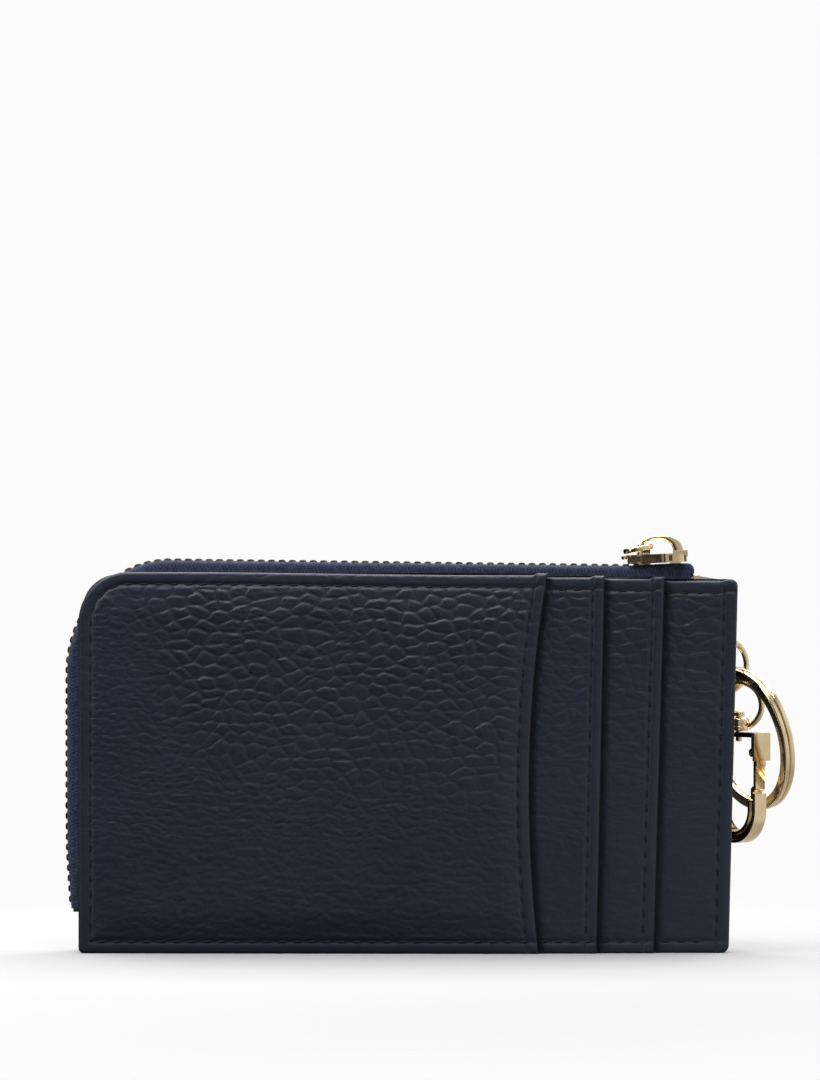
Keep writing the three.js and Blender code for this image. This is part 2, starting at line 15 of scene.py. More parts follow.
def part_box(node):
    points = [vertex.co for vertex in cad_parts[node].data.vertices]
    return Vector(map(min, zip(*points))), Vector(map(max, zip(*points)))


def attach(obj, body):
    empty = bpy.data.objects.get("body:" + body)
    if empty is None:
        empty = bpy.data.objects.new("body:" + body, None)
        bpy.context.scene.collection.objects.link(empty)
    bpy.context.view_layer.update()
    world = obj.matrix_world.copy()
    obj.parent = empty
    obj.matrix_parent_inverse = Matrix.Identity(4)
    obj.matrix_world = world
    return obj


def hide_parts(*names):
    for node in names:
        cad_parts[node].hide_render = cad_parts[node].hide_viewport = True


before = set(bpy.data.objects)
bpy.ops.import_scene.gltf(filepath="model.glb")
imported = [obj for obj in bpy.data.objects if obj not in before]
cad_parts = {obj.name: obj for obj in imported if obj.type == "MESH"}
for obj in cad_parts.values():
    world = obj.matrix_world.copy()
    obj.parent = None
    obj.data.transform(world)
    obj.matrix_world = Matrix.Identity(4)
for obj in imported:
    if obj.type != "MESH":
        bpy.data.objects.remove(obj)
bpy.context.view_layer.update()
MM = 0.001
TAU = 2 * math.pi


# ---- small helpers


def smooth(value, low, high):
    part = np.clip((value - low) / (high - low), 0, 1)
    return part * part * (3 - 2 * part)


def noise(x, z, size, seed):
    """Smooth value noise from -1 to 1, with features about `size` across."""
    lattice = np.random.default_rng(seed).random((128, 128)) * 2 - 1
    u, v = np.asarray(x) / size + 64, np.asarray(z) / size + 64
    i, j = np.floor(u).astype(int), np.floor(v).astype(int)
    a, b = u - i, v - j
    a, b = a * a * (3 - 2 * a), b * b * (3 - 2 * b)
    at = lambda p, q: lattice[(i + p) % 128, (j + q) % 128]
    return (at(0, 0) * (1 - a) + at(1, 0) * a) * (1 - b) + (at(0, 1) * (1 - a) + at(1, 1) * a) * b


def pebbles(x, z, wide, tall, seed):
    """Cells with narrow creases between them, highest at their upper rims, from 0 in a crease to 1."""
    rng = np.random.default_rng(seed)
    shift_u, shift_v, size, rise = rng.random((4, 128, 128))
    v = z / tall
    row = np.floor(v).astype(int)
    nearest = np.full(x.shape, 9.0)
    second = np.full(x.shape, 9.0)
    height = np.zeros(x.shape)
    lean = np.zeros(x.shape)
    for dj in (-1, 0, 1):
        j = row + dj
        u = x / wide + 0.5 * (j % 2)
        column = np.floor(u).astype(int)
        for di in (-1, 0, 1):
            i = column + di
            pu = i + 0.5 + 0.75 * (shift_u[i % 128, j % 128] - 0.5)
            pv = j + 0.5 + 0.75 * (shift_v[i % 128, j % 128] - 0.5)
            far = np.hypot(u - pu, v - pv) - 0.12 * size[i % 128, j % 128]
            second = np.minimum(second, np.maximum(nearest, far))
            height = np.where(far < nearest, 0.72 + 0.28 * rise[i % 128, j % 128], height)
            lean = np.where(far < nearest, v - pv, lean)
            nearest = np.minimum(nearest, far)
    dome = np.clip((second - nearest) / 0.55, 0, 1)
    return (1 - (1 - dome) ** 2.4) * height * np.clip(0.72 + 0.62 * lean, 0.3, 1)


def grain(x, z, seed):
    """Pebbled leather: large domes, with smaller ones and fine wrinkles between."""
    wx = x + 1.5 * noise(x, z, 8.0, seed) + 0.45 * noise(x, z, 2.2, seed + 1)
    wz = z + 0.8 * noise(x, z, 6.0, seed + 2) + 0.28 * noise(x, z, 1.8, seed + 3)
    large = pebbles(wx, wz, 3.7, 2.3, seed + 4)
    small = pebbles(wx + 3, wz + 5, 1.9, 1.15, seed + 5)
    wrinkle = pebbles(wx * 0.97, wz + 0.1 * wx, 6.8, 1.5, seed + 6)
    share = 0.5 + 0.5 * noise(x, z, 11.0, seed + 7)
    return large, small, wrinkle, share


def node_points(node):
    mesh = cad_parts[node].data
    flat = np.zeros(len(mesh.vertices) * 3)
    mesh.vertices.foreach_get("co", flat)
    return flat.reshape(-1, 3) / MM


def node_box(node):
    low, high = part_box(node)
    return np.array(low) / MM, np.array(high) / MM


# ---- meshes


def mesh_of(name, points, face_sets, attributes=None):
    """A mesh from points in millimetres and arrays of faces, each array with its own count of corners."""
    mesh = bpy.data.meshes.new(name)
    mesh.vertices.add(len(points))
    mesh.vertices.foreach_set("co", (np.asarray(points, float) * MM).ravel())
    face_sets = [np.atleast_2d(np.asarray(faces, np.int32)) for faces in face_sets if len(faces)]
    corners = np.concatenate([faces.ravel() for faces in face_sets])
    counts = np.concatenate([np.full(len(faces), faces.shape[1]) for faces in face_sets])
    mesh.loops.add(len(corners))
    mesh.loops.foreach_set("vertex_index", corners)
    mesh.polygons.add(len(counts))
    mesh.polygons.foreach_set("loop_start", np.concatenate([[0], np.cumsum(counts)[:-1]]).astype(np.int32))
    for label, values in (attributes or {}).items():
        layer = mesh.attributes.new(label, "FLOAT", "POINT")
        layer.data.foreach_set("value", np.asarray(values, np.float32))
    mesh.update(calc_edges=True)
    mesh.validate()
    return mesh


def face_outwards(mesh):
    work = bmesh.new()
    work.from_mesh(mesh)
    bmesh.ops.recalc_face_normals(work, faces=work.faces)
    work.to_mesh(mesh)
    work.free()


def in_scene(name, data):
    item = bpy.data.objects.new(name, data)
    bpy.context.scene.collection.objects.link(item)
    return item


def show(mesh, name, body, material, replaced=None, sharp=None, second=None, in_second=None):
    """Puts a mesh in the scene as a piece of the object, if need be with a second material on some faces."""
    mesh.name = name
    mesh.materials.clear()
    mesh.materials.append(material)
    if second:
        mesh.materials.append(second)
        mesh.polygons.foreach_set("material_index", np.asarray(in_second, np.int32))
    mesh.polygons.foreach_set("use_smooth", np.ones(len(mesh.polygons), bool))
    if sharp:
        mesh.set_sharp_from_angle(angle=math.radians(sharp))
    item = in_scene(name, mesh)
    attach(item, body)
    if replaced:
        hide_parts(replaced)


def piece(name, body, material, solid, replaced=None, sharp=None, attributes=None):
    """A piece made from points and faces in millimetres."""
    mesh = mesh_of(name, *solid, attributes)
    face_outwards(mesh)
    show(mesh, name, body, material, replaced, sharp)


def loft(rings, closed=False):
    """Points and faces of the skin through rings of equally many points."""
    rings = np.asarray(rings, float)
    here = np.arange(rings.shape[0] * rings.shape[1]).reshape(rings.shape[:2])
    base, there = (here, np.roll(here, -1, 0)) if closed else (here[:-1], here[1:])
    quads = np.stack([base, np.roll(base, -1, 1), np.roll(there, -1, 1), there], -1).reshape(-1, 4)
    caps = [] if closed else [here[0][::-1][None], here[-1][None]]
    return rings.reshape(-1, 3), [quads, *caps]


def joined(parts):
    """Several (points, face sets) as one."""
    points, faces, start = [], [], 0
    for part_points, part_faces in parts:
        points.append(part_points)
        faces.extend(np.asarray(f) + start for f in part_faces)
        start += len(part_points)
    by_corners = {}
    for f in faces:
        by_corners.setdefault(f.shape[1], []).append(f)
    return np.concatenate(points), [np.concatenate(fs) for fs in by_corners.values()]


def circle(angles):
    return np.stack([np.cos(angles), np.sin(angles)], -1)


def round_section(radius, sides):
    return radius * circle(np.arange(sides) / sides * TAU)


def arc(cx, cz, radius, start, stop, count):
    return (np.array([cx, cz]) + radius * circle(np.linspace(start, stop, count))).tolist()


def soft_rectangle(half_a, half_b, corner, steps=4):
    """Outline of a rectangle with rounded corners."""
    a, b = half_a - corner, half_b - corner
    points = []
    for turn, (cx, cz) in enumerate([(a, b), (-a, b), (-a, -b), (a, -b)]):
        points += arc(cx, cz, corner, math.pi / 2 * turn, math.pi / 2 * (turn + 1), steps + 1)
    return np.array(points)


def length_along(points):
    return np.concatenate([[0], np.cumsum(np.linalg.norm(np.diff(points, axis=0), axis=1))])


def flat_path(points, closed=False):
    """Tangents and outward directions of a plane path; its outside is on its right."""
    points = np.asarray(points, float)
    if closed:
        ahead = np.roll(points, -1, 0) - np.roll(points, 1, 0)
    else:
        ahead = np.gradient(points, axis=0)
    ahead /= np.linalg.norm(ahead, axis=1, keepdims=True)
    return ahead, np.stack([ahead[:, 1], -ahead[:, 0]], 1)


def resampled(points, step, closed=False):
    """The same path with even steps."""
    points = np.asarray(points, float)
    if closed:
        points = np.vstack([points, points[:1]])
    run = length_along(points)
    at = np.linspace(0, run[-1], max(3, int(round(run[-1] / step))) + 1)
    if closed:
        at = at[:-1]
    return np.stack([np.interp(at, run, points[:, k]) for k in range(points.shape[1])], 1)


class Placing:
    """A plane of its own (right, up, and out of the plane) set in the part's frame."""

    def __init__(self, origin, right, up):
        self.origin = np.array(origin, float)
        self.right = np.array(right, float) / np.linalg.norm(right)
        self.up = np.array(up, float) / np.linalg.norm(up)
        self.out = np.cross(self.right, self.up)

    def points(self, local):
        local = np.atleast_2d(local)
        depth = local[:, 2:3] if local.shape[1] > 2 else 0
        return self.origin + local[:, :1] * self.right + local[:, 1:2] * self.up + depth * self.out

    def matrix(self):
        columns = np.stack([self.right, self.up, self.out, self.origin], 1)
        return Matrix(np.vstack([columns, [0, 0, 0, 1]]).tolist())

    def wire(self, path, out, section, closed=False):
        """A section carried along a path in this plane. The section's first number goes along out."""
        outs = (out[:, :1] * self.right + out[:, 1:] * self.up)[:, None]
        rings = self.points(path)[:, None] + section[..., :1] * outs + section[..., 1:] * self.out
        return loft(rings, closed)


X, Y, Z = np.eye(3)


def heading(degrees):
    return np.array([math.cos(math.radians(degrees)), math.sin(math.radians(degrees)), 0.0])


# ---- hard parts, cut and bevelled


def prism(outline, low, high):
    """A flat outline drawn out between two depths."""
    count = len(outline)
    points = np.vstack([np.column_stack([outline, np.full(count, depth)]) for depth in (low, high)])
    index = np.arange(count)
    sides = np.stack([index, np.roll(index, -1), np.roll(index, -1) + count, index + count], 1)
    return points, [sides, index[::-1][None], index[None] + count]


def block(x, y, z):
    return prism([(x[0], y[0]), (x[1], y[0]), (x[1], y[1]), (x[0], y[1])], z[0], z[1])


def disc(radius, low, high, centre=(0, 0), sides=40):
    return prism(round_section(radius, sides) + np.array(centre), low, high)


def laid_down(solid, order):
    """A solid with its axes in another order, and the third one turned the other way."""
    points, faces = solid
    return points[:, order] * np.array([1, 1, -1]), faces


def turned(profile, sides, centre, closed=False):
    """A profile of (radius, height) turned round an upright axis."""
    rings = [np.column_stack([round_section(r, sides) + centre, np.full(sides, z)]) for r, z in profile]
    return loft(rings, closed)


def rough_object(solid):
    """A throwaway object in millimetres, for booleans."""
    points, faces = solid
    mesh = mesh_of("rough", points / MM, faces)
    face_outwards(mesh)
    mesh.polygons.foreach_set("use_smooth", np.ones(len(mesh.polygons), bool))
    return in_scene("rough", mesh)


def worked(base, added=(), cuts=(), bevel=0.15, segments=3, angle=30, moved=Matrix()):
    """The mesh of a base with others joined on and cut away, its edges rounded, then put in place."""
    body = rough_object(base)
    tools = []
    for group, operation in ((added, "UNION"), (cuts, "DIFFERENCE")):
        for solid in group:
            tools.append(rough_object(solid))
            change = body.modifiers.new(operation, "BOOLEAN")
            change.operation = operation
            change.solver = "EXACT"
            change.object = tools[-1]
    if bevel:
        edge = body.modifiers.new("round", "BEVEL")
        edge.width = bevel
        edge.segments = segments
        edge.limit_method = "ANGLE"
        edge.angle_limit = math.radians(angle)
        edge.harden_normals = True
    mesh = bpy.data.meshes.new_from_object(body.evaluated_get(bpy.context.evaluated_depsgraph_get()))
    for item in [body, *tools]:
        bpy.data.objects.remove(item)
    mesh.transform(Matrix.Diagonal((MM, MM, MM, 1)) @ moved)
    return mesh


# ---- materials


class Nodes:
    """The node tree of a material or world, emptied and filled again."""

    def __init__(self, owner):
        owner.use_nodes = True
        self.tree = owner.node_tree
        self.tree.nodes.clear()

    def add(self, kind, inputs=None, output=0, **settings):
        """The output of a new node. An input that is another node's output is joined, any other is set."""
        node = self.tree.nodes.new("ShaderNode" + kind)
        for setting, value in settings.items():
            setattr(node, setting, value)
        for socket, value in (inputs or {}).items():
            if isinstance(value, bpy.types.NodeSocket):
                self.tree.links.new(value, node.inputs[socket])
            else:
                node.inputs[socket].default_value = value
        return node.outputs[output] if len(node.outputs) else None

    def spread(self, value, from_low, from_high, to_low, to_high, **settings):
        ends = {"From Min": from_low, "From Max": from_high, "To Min": to_low, "To Max": to_high}
        return self.add("MapRange", {**ends, "Value": value}, "Result", **settings)

    def maths(self, operation, a, b):
        return self.add("Math", {0: a, 1: b}, operation=operation)


class Finish(Nodes):
    """A procedural material: one Principled shader with the nodes that feed it."""

    def __init__(self, name, **fixed):
        self.material = bpy.data.materials.new(name)
        super().__init__(self.material)
        fixed = {socket.replace("_", " "): value for socket, value in fixed.items()}
        shader = self.add("BsdfPrincipled", fixed)
        self.shader = shader.node
        self.add("OutputMaterial", {"Surface": shader})
        self.place = self.add("TexCoord", output="Object")

    def mapped(self, scale, location=(0, 0, 0)):
        return self.add("Mapping", {"Location": location, "Scale": scale, "Vector": self.place})

    def noise(self, size, detail=2.0, roughness=0.5, stretch=None):
        """Noise with features about `size` millimetres across."""
        vector = self.mapped(stretch) if stretch else self.place
        inputs = {"Scale": 1 / (size * MM), "Detail": detail, "Roughness": roughness, "Vector": vector}
        return self.add("TexNoise", inputs, "Fac")

    def attribute(self, name):
        return self.add("Attribute", output="Fac", attribute_name=name)

    def ramp(self, value, *stops):
        colour = self.add("ValToRGB", {"Fac": value}, "Color")
        elements = colour.node.color_ramp.elements
        while len(elements) < len(stops):
            elements.new(0.5)
        for element, (place, shade) in zip(elements, stops):
            element.position = place
            element.color = (*shade, 1)
        return colour

    def blend(self, share, a, b, kind="MIX"):
        return self.add("Mix", {0: share, 6: a, 7: b}, 2, data_type="RGBA", blend_type=kind)

    def bump(self, height, distance, strength, under=None):
        inputs = {"Strength": strength, "Distance": distance * MM, "Height": height}
        return self.add("Bump", {**inputs, "Normal": under} if under else inputs)

    def feed(self, **sockets):
        for socket, output in sockets.items():
            self.tree.links.new(output, self.shader.inputs[socket.replace("_", " ")])
        return self.material


def leather_finish():
    made = Finish("leather_pebbled_navy", Specular_IOR_Level=0.45)
    navy = np.array([0.0150, 0.0240, 0.0440])
    height = made.attribute("grain")
    cloud = made.noise(14, 3)
    # Painted shade: the colour is darkest where the grain value is low, that is in the creases between domes,
    # along the stitch grooves and in the slit beside each slot's mouth.
    skin_with_painted_shade = made.ramp(height, (0.0, navy * 0.3), (0.22, navy * 0.9), (1.0, navy * 1.1))
    patchy = made.ramp(cloud, (0.3, (0.86, 0.88, 0.92)), (0.7, (1.12, 1.1, 1.08)))
    colour = made.blend(1.0, skin_with_painted_shade, patchy, "MULTIPLY")
    inputs = {"Scale": 1 / (0.42 * MM), "Vector": made.place}
    pores = made.add("TexVoronoi", inputs, "Distance", feature="DISTANCE_TO_EDGE")
    fine = made.noise(0.16, 3, 0.6)
    rough = made.maths("ADD", made.spread(height, 0, 1, 0.5, 0.36), made.spread(fine, 0.3, 0.7, -0.05, 0.05))
    ridges = made.bump(made.spread(pores, 0, 0.12, 0, 1), 0.016, 0.6)
    normal = made.bump(fine, 0.03, 0.6, made.bump(height, 0.12, 1.0, ridges))
    return made.feed(Base_Color=colour, Roughness=rough, Normal=normal)


def edge_finish():
    made = Finish("leather_edge_paint", Specular_IOR_Level=0.45)
    streak = made.noise(0.5, 3, 0.6, (0.15, 1.0, 0.15))
    colour = made.ramp(streak, (0.3, (0.012, 0.015, 0.023)), (0.7, (0.026, 0.031, 0.044)))
    normal = made.bump(made.noise(0.3), 0.03, 0.6)
    return made.feed(Base_Color=colour, Roughness=made.spread(streak, 0.3, 0.7, 0.42, 0.56), Normal=normal)


def fibre_finish(made, fibres, dark, light, smoothest, roughest, bump):
    """A finish whose colour, roughness and relief all follow one pattern of noise."""
    rough = made.spread(fibres, 0.3, 0.7, smoothest, roughest)
    colour = made.ramp(fibres, dark, light)
    return made.feed(Base_Color=colour, Roughness=rough, Normal=made.bump(fibres, 0.05, bump))


def thread_finish():
    made = Finish("thread_navy", Specular_IOR_Level=0.3, Sheen_Weight=0.1)
    dark, light = (0.3, (0.004, 0.006, 0.012)), (0.75, (0.016, 0.021, 0.036))
    return fibre_finish(made, made.noise(0.14, 2, 0.6), dark, light, 0.6, 0.8, 0.8)


def lining_finish():
    made = Finish("lining_twill", Specular_IOR_Level=0.2, Sheen_Weight=0.15)
    dark, light = (0.3, (0.009, 0.011, 0.017)), (0.7, (0.022, 0.026, 0.036))
    return fibre_finish(made, made.noise(0.35, 1, 0.5, (1.0, 1.0, 0.45)), dark, light, 0.78, 0.92, 0.7)


def tape_finish():
    made = Finish("zip_tape_woven", Specular_IOR_Level=0.25, Sheen_Weight=0.25, Sheen_Roughness=0.4)
    fuzz = made.noise(0.22, 3, 0.65)
    weave = made.maths("MULTIPLY", made.attribute("weave"), 0.42)
    mixed = made.maths("ADD", weave, made.maths("MULTIPLY", fuzz, 0.7))
    stops = (0.22, (0.009, 0.012, 0.028)), (0.5, (0.036, 0.048, 0.096)), (0.78, (0.105, 0.125, 0.205))
    rough = made.spread(fuzz, 0.3, 0.7, 0.7, 0.9)
    return made.feed(Base_Color=made.ramp(mixed, *stops), Roughness=rough, Normal=made.bump(fuzz, 0.06, 0.9))


def metal_finish(name, dark, light, roughness, scratch=0.006):
    made = Finish(name, Metallic=1.0)
    cloud = made.noise(5, 3, 0.6)
    lines = made.noise(0.25, stretch=(1.0, 1.0, 0.12))
    cloudy = made.spread(cloud, 0.3, 0.7, roughness * 0.85, roughness * 1.15)
    rough = made.maths("ADD", cloudy, made.spread(lines, 0.3, 0.7, -0.02, 0.03))
    colour = made.ramp(cloud, (0.3, dark), (0.7, light))
    return made.feed(Base_Color=colour, Roughness=rough, Normal=made.bump(lines, scratch, 0.5))


LEATHER = leather_finish()
EDGE = edge_finish()
THREAD = thread_finish()
LINING = lining_finish()
TAPE = tape_finish()
GOLD = metal_finish("gold_polished", (0.74, 0.56, 0.33), (0.86, 0.69, 0.44), 0.13)
BRONZE = metal_finish("teeth_bronze", (0.13, 0.095, 0.055), (0.30, 0.225, 0.13), 0.34, 0.02)
STEEL = metal_finish("steel_plain", (0.42, 0.41, 0.39), (0.55, 0.54, 0.51), 0.28)

# ---- leather plies

SEAM = 2.4  # stitch line to the edge
SIDE_SEAM = 2.7  # the same at the closed right side
FOLD_SEAM = 2.3  # stitch line to the folded edge of a slot
EDGE_ROUND = 0.5
CLUSTER = [0, 0.03, 0.09, 0.18, 0.3, 0.44, 0.62]
CURL = (0.62, 0.0), (0.80, 0.25), (0.93, 0.34), (1.0, 1.6)  # depth round an edge, and a fold's reach inwards


class Ply:
    """The outline of a wall ply, read from its CAD node, and where its outer face lies."""

    def __init__(self, node, facing=-1, depth=None, open_edge=False):
        points = node_points(node)
        self.node = node
        self.low, self.high = points.min(0), points.max(0)
        heights = np.unique(np.round(points[:, 2], 3))
        rows = [points[np.abs(points[:, 2] - height) < 1e-3] for height in heights]
        self.corner = rows[-1][:, 0].min() - self.low[0]
        self.foot = rows[0][:, 0].min() - self.low[0]
        self.edge = np.polynomial.Polynomial.fit(heights, [row[:, 0].max() for row in rows], 4)
        self.slope = self.edge.deriv()
        self.facing = facing
        self.face = self.low[1] if facing < 0 else self.high[1]
        self.depth = depth or self.high[1] - self.low[1]
        self.open_edge = open_edge
        self.right_corner = 0.01 if open_edge else 1.5
        self.over = None
        self.pinch = None
        self.lift = lambda x: 0 * x
        self.puff = lambda x, z: 0 * x

    def left(self, z):
        over = np.clip(z - (self.high[2] - self.corner), 0, self.corner)
        under = np.clip(self.foot - (z - self.low[2]), 0, self.foot)
        corner = self.corner - np.sqrt(self.corner**2 - over**2)
        return self.low[0] + corner + self.foot - np.sqrt(np.maximum(self.foot**2 - under**2, 0))

    def rim(self, x, z):
        """How far a point lies inside the left, top and bottom edges."""
        cx, cz = self.low[0] + self.corner, self.high[2] - self.corner
        fx, fz = self.low[0] + self.foot, self.low[2] + self.foot
        straight = np.minimum(np.minimum(x - self.low[0], self.high[2] - z), z - self.low[2])
        rounded = np.minimum(self.corner - np.hypot(x - cx, z - cz), z - self.low[2])
        inside = np.where((x < cx) & (z > cz), rounded, straight)
        return np.where((x < fx) & (z < fz), self.foot - np.hypot(x - fx, z - fz), inside)

    def right(self, z):
        """X of the right edge, with its small rounded corners."""
        radius = self.right_corner
        over = np.clip(np.maximum(z - self.high[2], self.low[2] - z) + radius, 0, radius)
        return self.edge(z) - radius + np.sqrt(np.maximum(radius**2 - over**2, 0))

    def side(self, x, z):
        """How far a point lies inside the right edge."""
        radius = self.right_corner
        straight = (self.edge(z) - x) / np.sqrt(1 + self.slope(z) ** 2)
        over = np.maximum(z - self.high[2], self.low[2] - z) + radius
        along = radius - straight
        return np.where((over > 0) & (along > 0), radius - np.hypot(along, over), straight)

    def slit(self, x, z):
        """1 right beside the edge of the ply that lies over this one, falling off to the right; it sinks the
        face there and darkens its colour as a painted shadow.
        """
        if self.over is None:
            return 0 * x
        return np.exp(-((np.maximum(-self.over.side(x, z), 0) / 0.85) ** 2))

    def warped(self, x, z):
        """Height after the top edge's own rise and fall."""
        return z + self.lift(x) * smooth(z, self.high[2] - 14, self.high[2])

    def base(self, x, z):
        """Y of the smooth outer face, without grain or rounding."""
        out = self.puff(x, z) * smooth(self.rim(x, z), 0, 9) * smooth(self.side(x, z), 0, 7)
        y = self.face + self.facing * out
        return y - self.pinch(x) if self.pinch else y


def grid_lines(low, high, step, cluster_low=True, cluster_high=True, fine=None):
    """Places of a mesh's lines, closer at the ends; with fine they are closer in the upper two thirds too."""
    start = [low + c for c in CLUSTER] if cluster_low else [low]
    stop = [high - c for c in reversed(CLUSTER)] if cluster_high else [high]
    change = low + (high - low) * 0.3 if fine else start[-1]
    coarse = np.linspace(start[-1], change, max(1, int(math.ceil((change - start[-1]) / step))) + 1)
    close = np.linspace(change, stop[0], max(1, int(math.ceil((stop[0] - change) / (fine or step)))) + 1)
    return np.unique([*start, *coarse, *close, *stop])


def pebble_skin(ply, x, z, strength, seed):
    """Outward height of the grain, and a colour value from how high each point stands between crease and
    dome, which paints shade into the creases, the stitch grooves and the slit beside the ply lying over this
    one.
    """
    large, small, wrinkle, share = grain(x, z, seed)
    amount, coarse = strength(x, z)
    mixed = large * (0.35 + 0.65 * small * (1 - share) + 0.65 * share)
    mixed = coarse * mixed + (1 - coarse) * (0.45 * small + 0.55 * wrinkle)
    rim, side = ply.rim(x, z), ply.side(x, z)
    side_seam = FOLD_SEAM if ply.open_edge else SIDE_SEAM
    band = smooth(rim, SEAM + 0.1, SEAM + 1.0) * smooth(side, side_seam + 0.1, side_seam + 0.9)
    height = amount * (0.22 + 0.78 * band) * mixed
    seams = np.exp(-(((rim - SEAM) / 0.36) ** 2)) * (side > 0.2)
    seams = np.maximum(seams, np.exp(-(((side - side_seam) / 0.36) ** 2)) * (rim > 0.2))
    swell = 0.10 * np.exp(-(((rim - 1.2) / 0.8) ** 2)) + 0.10 * np.exp(-(((side - 1.2) / 0.8) ** 2))
    slit = ply.slit(x, z)
    height = (height + swell - 0.2 * seams) * (1 - 0.7 * slit) - 0.3 * slit
    # Painted shade: the colour value falls in the creases and the stitch grooves, and a painted shadow
    # darkens the slit right of the overlying ply's edge.
    shade = np.clip(0.25 + 0.75 * mixed, 0, 1) * (0.35 + 0.65 * band) + 0.42 * (1 - band)
    return height, np.clip(shade - 0.45 * seams, 0, 1) * (1 - 0.96 * slit)


def grid_faces(shape):
    """The quads of a grid of points, and the loop of points round its border."""
    index = np.arange(shape[0] * shape[1]).reshape(shape)
    quads = np.stack([index[:-1, :-1], index[:-1, 1:], index[1:, 1:], index[1:, :-1]], -1).reshape(-1, 4)
    loop = np.concatenate([index[0, :-1], index[:-1, -1], index[-1, :0:-1], index[:0:-1, 0]])
    return quads, loop


def leather_ply(name, ply, strength, seed, fine_from=None, step=0.32):
    """A closed sheet: grained face, rounded edges, painted rim and plain back."""
    rows = grid_lines(ply.low[2], ply.high[2], step * 1.3, fine=step * 0.78)
    wide = ply.high[0] - ply.low[0]
    if fine_from is None:
        offsets = grid_lines(0, wide, step)
    else:
        hidden = grid_lines(0, fine_from - ply.low[0], 3.0, True, False)
        offsets = np.concatenate([hidden[:-1], grid_lines(fine_from - ply.low[0], wide, step, False)])
    z = np.repeat(rows[:, None], len(offsets), 1)
    left, right = ply.left(z), ply.right(z)
    x = left + (right - left) * (offsets / wide)[None]
    inside = np.minimum(np.maximum(ply.rim(x, z), 0), np.maximum(ply.side(x, z), 0))
    over = EDGE_ROUND - np.minimum(inside, EDGE_ROUND)
    drop = EDGE_ROUND - np.sqrt(np.maximum(EDGE_ROUND**2 - over**2, 0))
    height, shade = pebble_skin(ply, x, z, strength, seed)
    y = ply.base(x, z) + ply.facing * (height * smooth(inside, 0, 0.5) - drop)
    face = np.stack([x, y, ply.warped(x, z)], -1).reshape(-1, 3)
    quads, loop = grid_faces(x.shape)
    flat_x, flat_z = x.ravel()[loop], z.ravel()[loop]
    # Where the edge is a slot's mouth the leather is folded back, and lifts a little off what lies behind.
    mouth = (ply.side(flat_x, flat_z) < 1e-6) * smooth(ply.rim(flat_x, flat_z), 0.4, 3.0) * ply.open_edge
    start = face[loop]
    plain = ply.base(flat_x, flat_z) - ply.facing * ply.depth
    tiers, ring = [face], [loop]
    for count, (part, inward) in enumerate(CURL):
        tier = start.copy()
        tier[:, 0] -= mouth * inward
        tier[:, 1] += (plain - start[:, 1]) * (part * (1 - mouth) + (0.3 + 0.62 * part) * mouth)
        tiers.append(tier)
        ring.append(x.size + count * len(loop) + np.arange(len(loop)))
    walls = [np.stack([a, b, np.roll(b, -1), np.roll(a, -1)], 1) for a, b in zip(ring[:-1], ring[1:])]
    # The back: a ladder of quads between the two sides, closed by a face at the foot and one at the head.
    last = ring[-1]
    count_rows, count_columns = x.shape
    bottom, top = count_columns - 1, count_columns + count_rows - 2
    east = last[bottom : bottom + count_rows]
    west = np.concatenate([last[:1], last[: top + count_columns - 2 : -1]])
    ladder = np.stack([west[1:-2], west[2:-1], east[2:-1], east[1:-2]], 1)
    foot = np.concatenate([[west[1]], [east[1]], last[: bottom + 1][::-1]])[None]
    head = np.concatenate([[west[-2]], last[top : top + count_columns][::-1], [east[-2]]])[None]
    faces = [quads, np.concatenate(walls), ladder, foot, head]
    if ply.facing > 0:
        faces = [f[:, ::-1] for f in faces]
    points = np.concatenate(tiers)
    # The grain attribute carries the colour value with its painted shade in creases, stitch grooves and
    # slits; the rim and back get a plain 0.4.
    values = np.concatenate([shade.ravel(), np.full(len(points) - x.size, 0.4)])
    mesh = mesh_of(name, points, faces, {"grain": values})
    painted = np.arange(len(mesh.polygons)) >= len(quads)
    show(mesh, name, "wallet", LEATHER, ply.node, second=EDGE, in_second=painted)


# ---- stitches

STITCH_PITCH, STITCH_LENGTH, STITCH_RADIUS, STITCH_SINK, STITCH_SIDES = 3.0, 2.05, 0.18, 0.34, 8
STITCH_LEAN = math.radians(7)


def one_stitch():
    """A short thread whose ends dive into their holes."""
    part = np.linspace(-1, 1, 9)[:, None, None]
    girth = STITCH_RADIUS * np.sqrt(np.clip(1 - 0.75 * part**6, 0.05, 1))
    ring = girth * round_section(1, STITCH_SIDES) - STITCH_SINK * part**4 * np.array([0, 1])
    return loft(np.concatenate([np.repeat(part * STITCH_LENGTH / 2, STITCH_SIDES, 1), ring], -1))


def stitched(name, runs):
    """Stitches along runs of (point, direction, outward) arrays."""
    points, faces = one_stitch()
    parts = []
    for places, ahead, outward in runs:
        along = ahead * math.cos(STITCH_LEAN) + np.cross(outward, ahead) * math.sin(STITCH_LEAN)
        for place, a, s, o in zip(places, along, np.cross(outward, along), outward):
            parts.append((place + points[:, :1] * a + points[:, 1:2] * s + points[:, 2:] * o, faces))
    piece(name, "wallet", THREAD, joined(parts))


def seam_run(ply, path, keep):
    """Stitch places on a ply's face along a path of (x, z), where keep says they show."""
    path = resampled(path, 0.05)
    run = length_along(path)
    at = np.arange(STITCH_PITCH * 0.6, run[-1] - STITCH_PITCH * 0.3, STITCH_PITCH)
    (x, z), ahead, behind = (
        np.array([np.interp(place, run, path[:, k]) for k in (0, 1)]) for place in (at, at + 0.4, at - 0.4)
    )
    shown = keep(x, z)
    x, z = x[shown], z[shown]
    across, up = ((ahead - behind) / np.linalg.norm(ahead - behind, axis=0))[:, shown]
    places = np.stack([x, ply.base(x, z) - ply.facing * 0.10, ply.warped(x, z)], 1)
    return places, np.stack([across, 0 * x, up], 1), np.tile([0.0, ply.facing, 0.0], (len(x), 1))


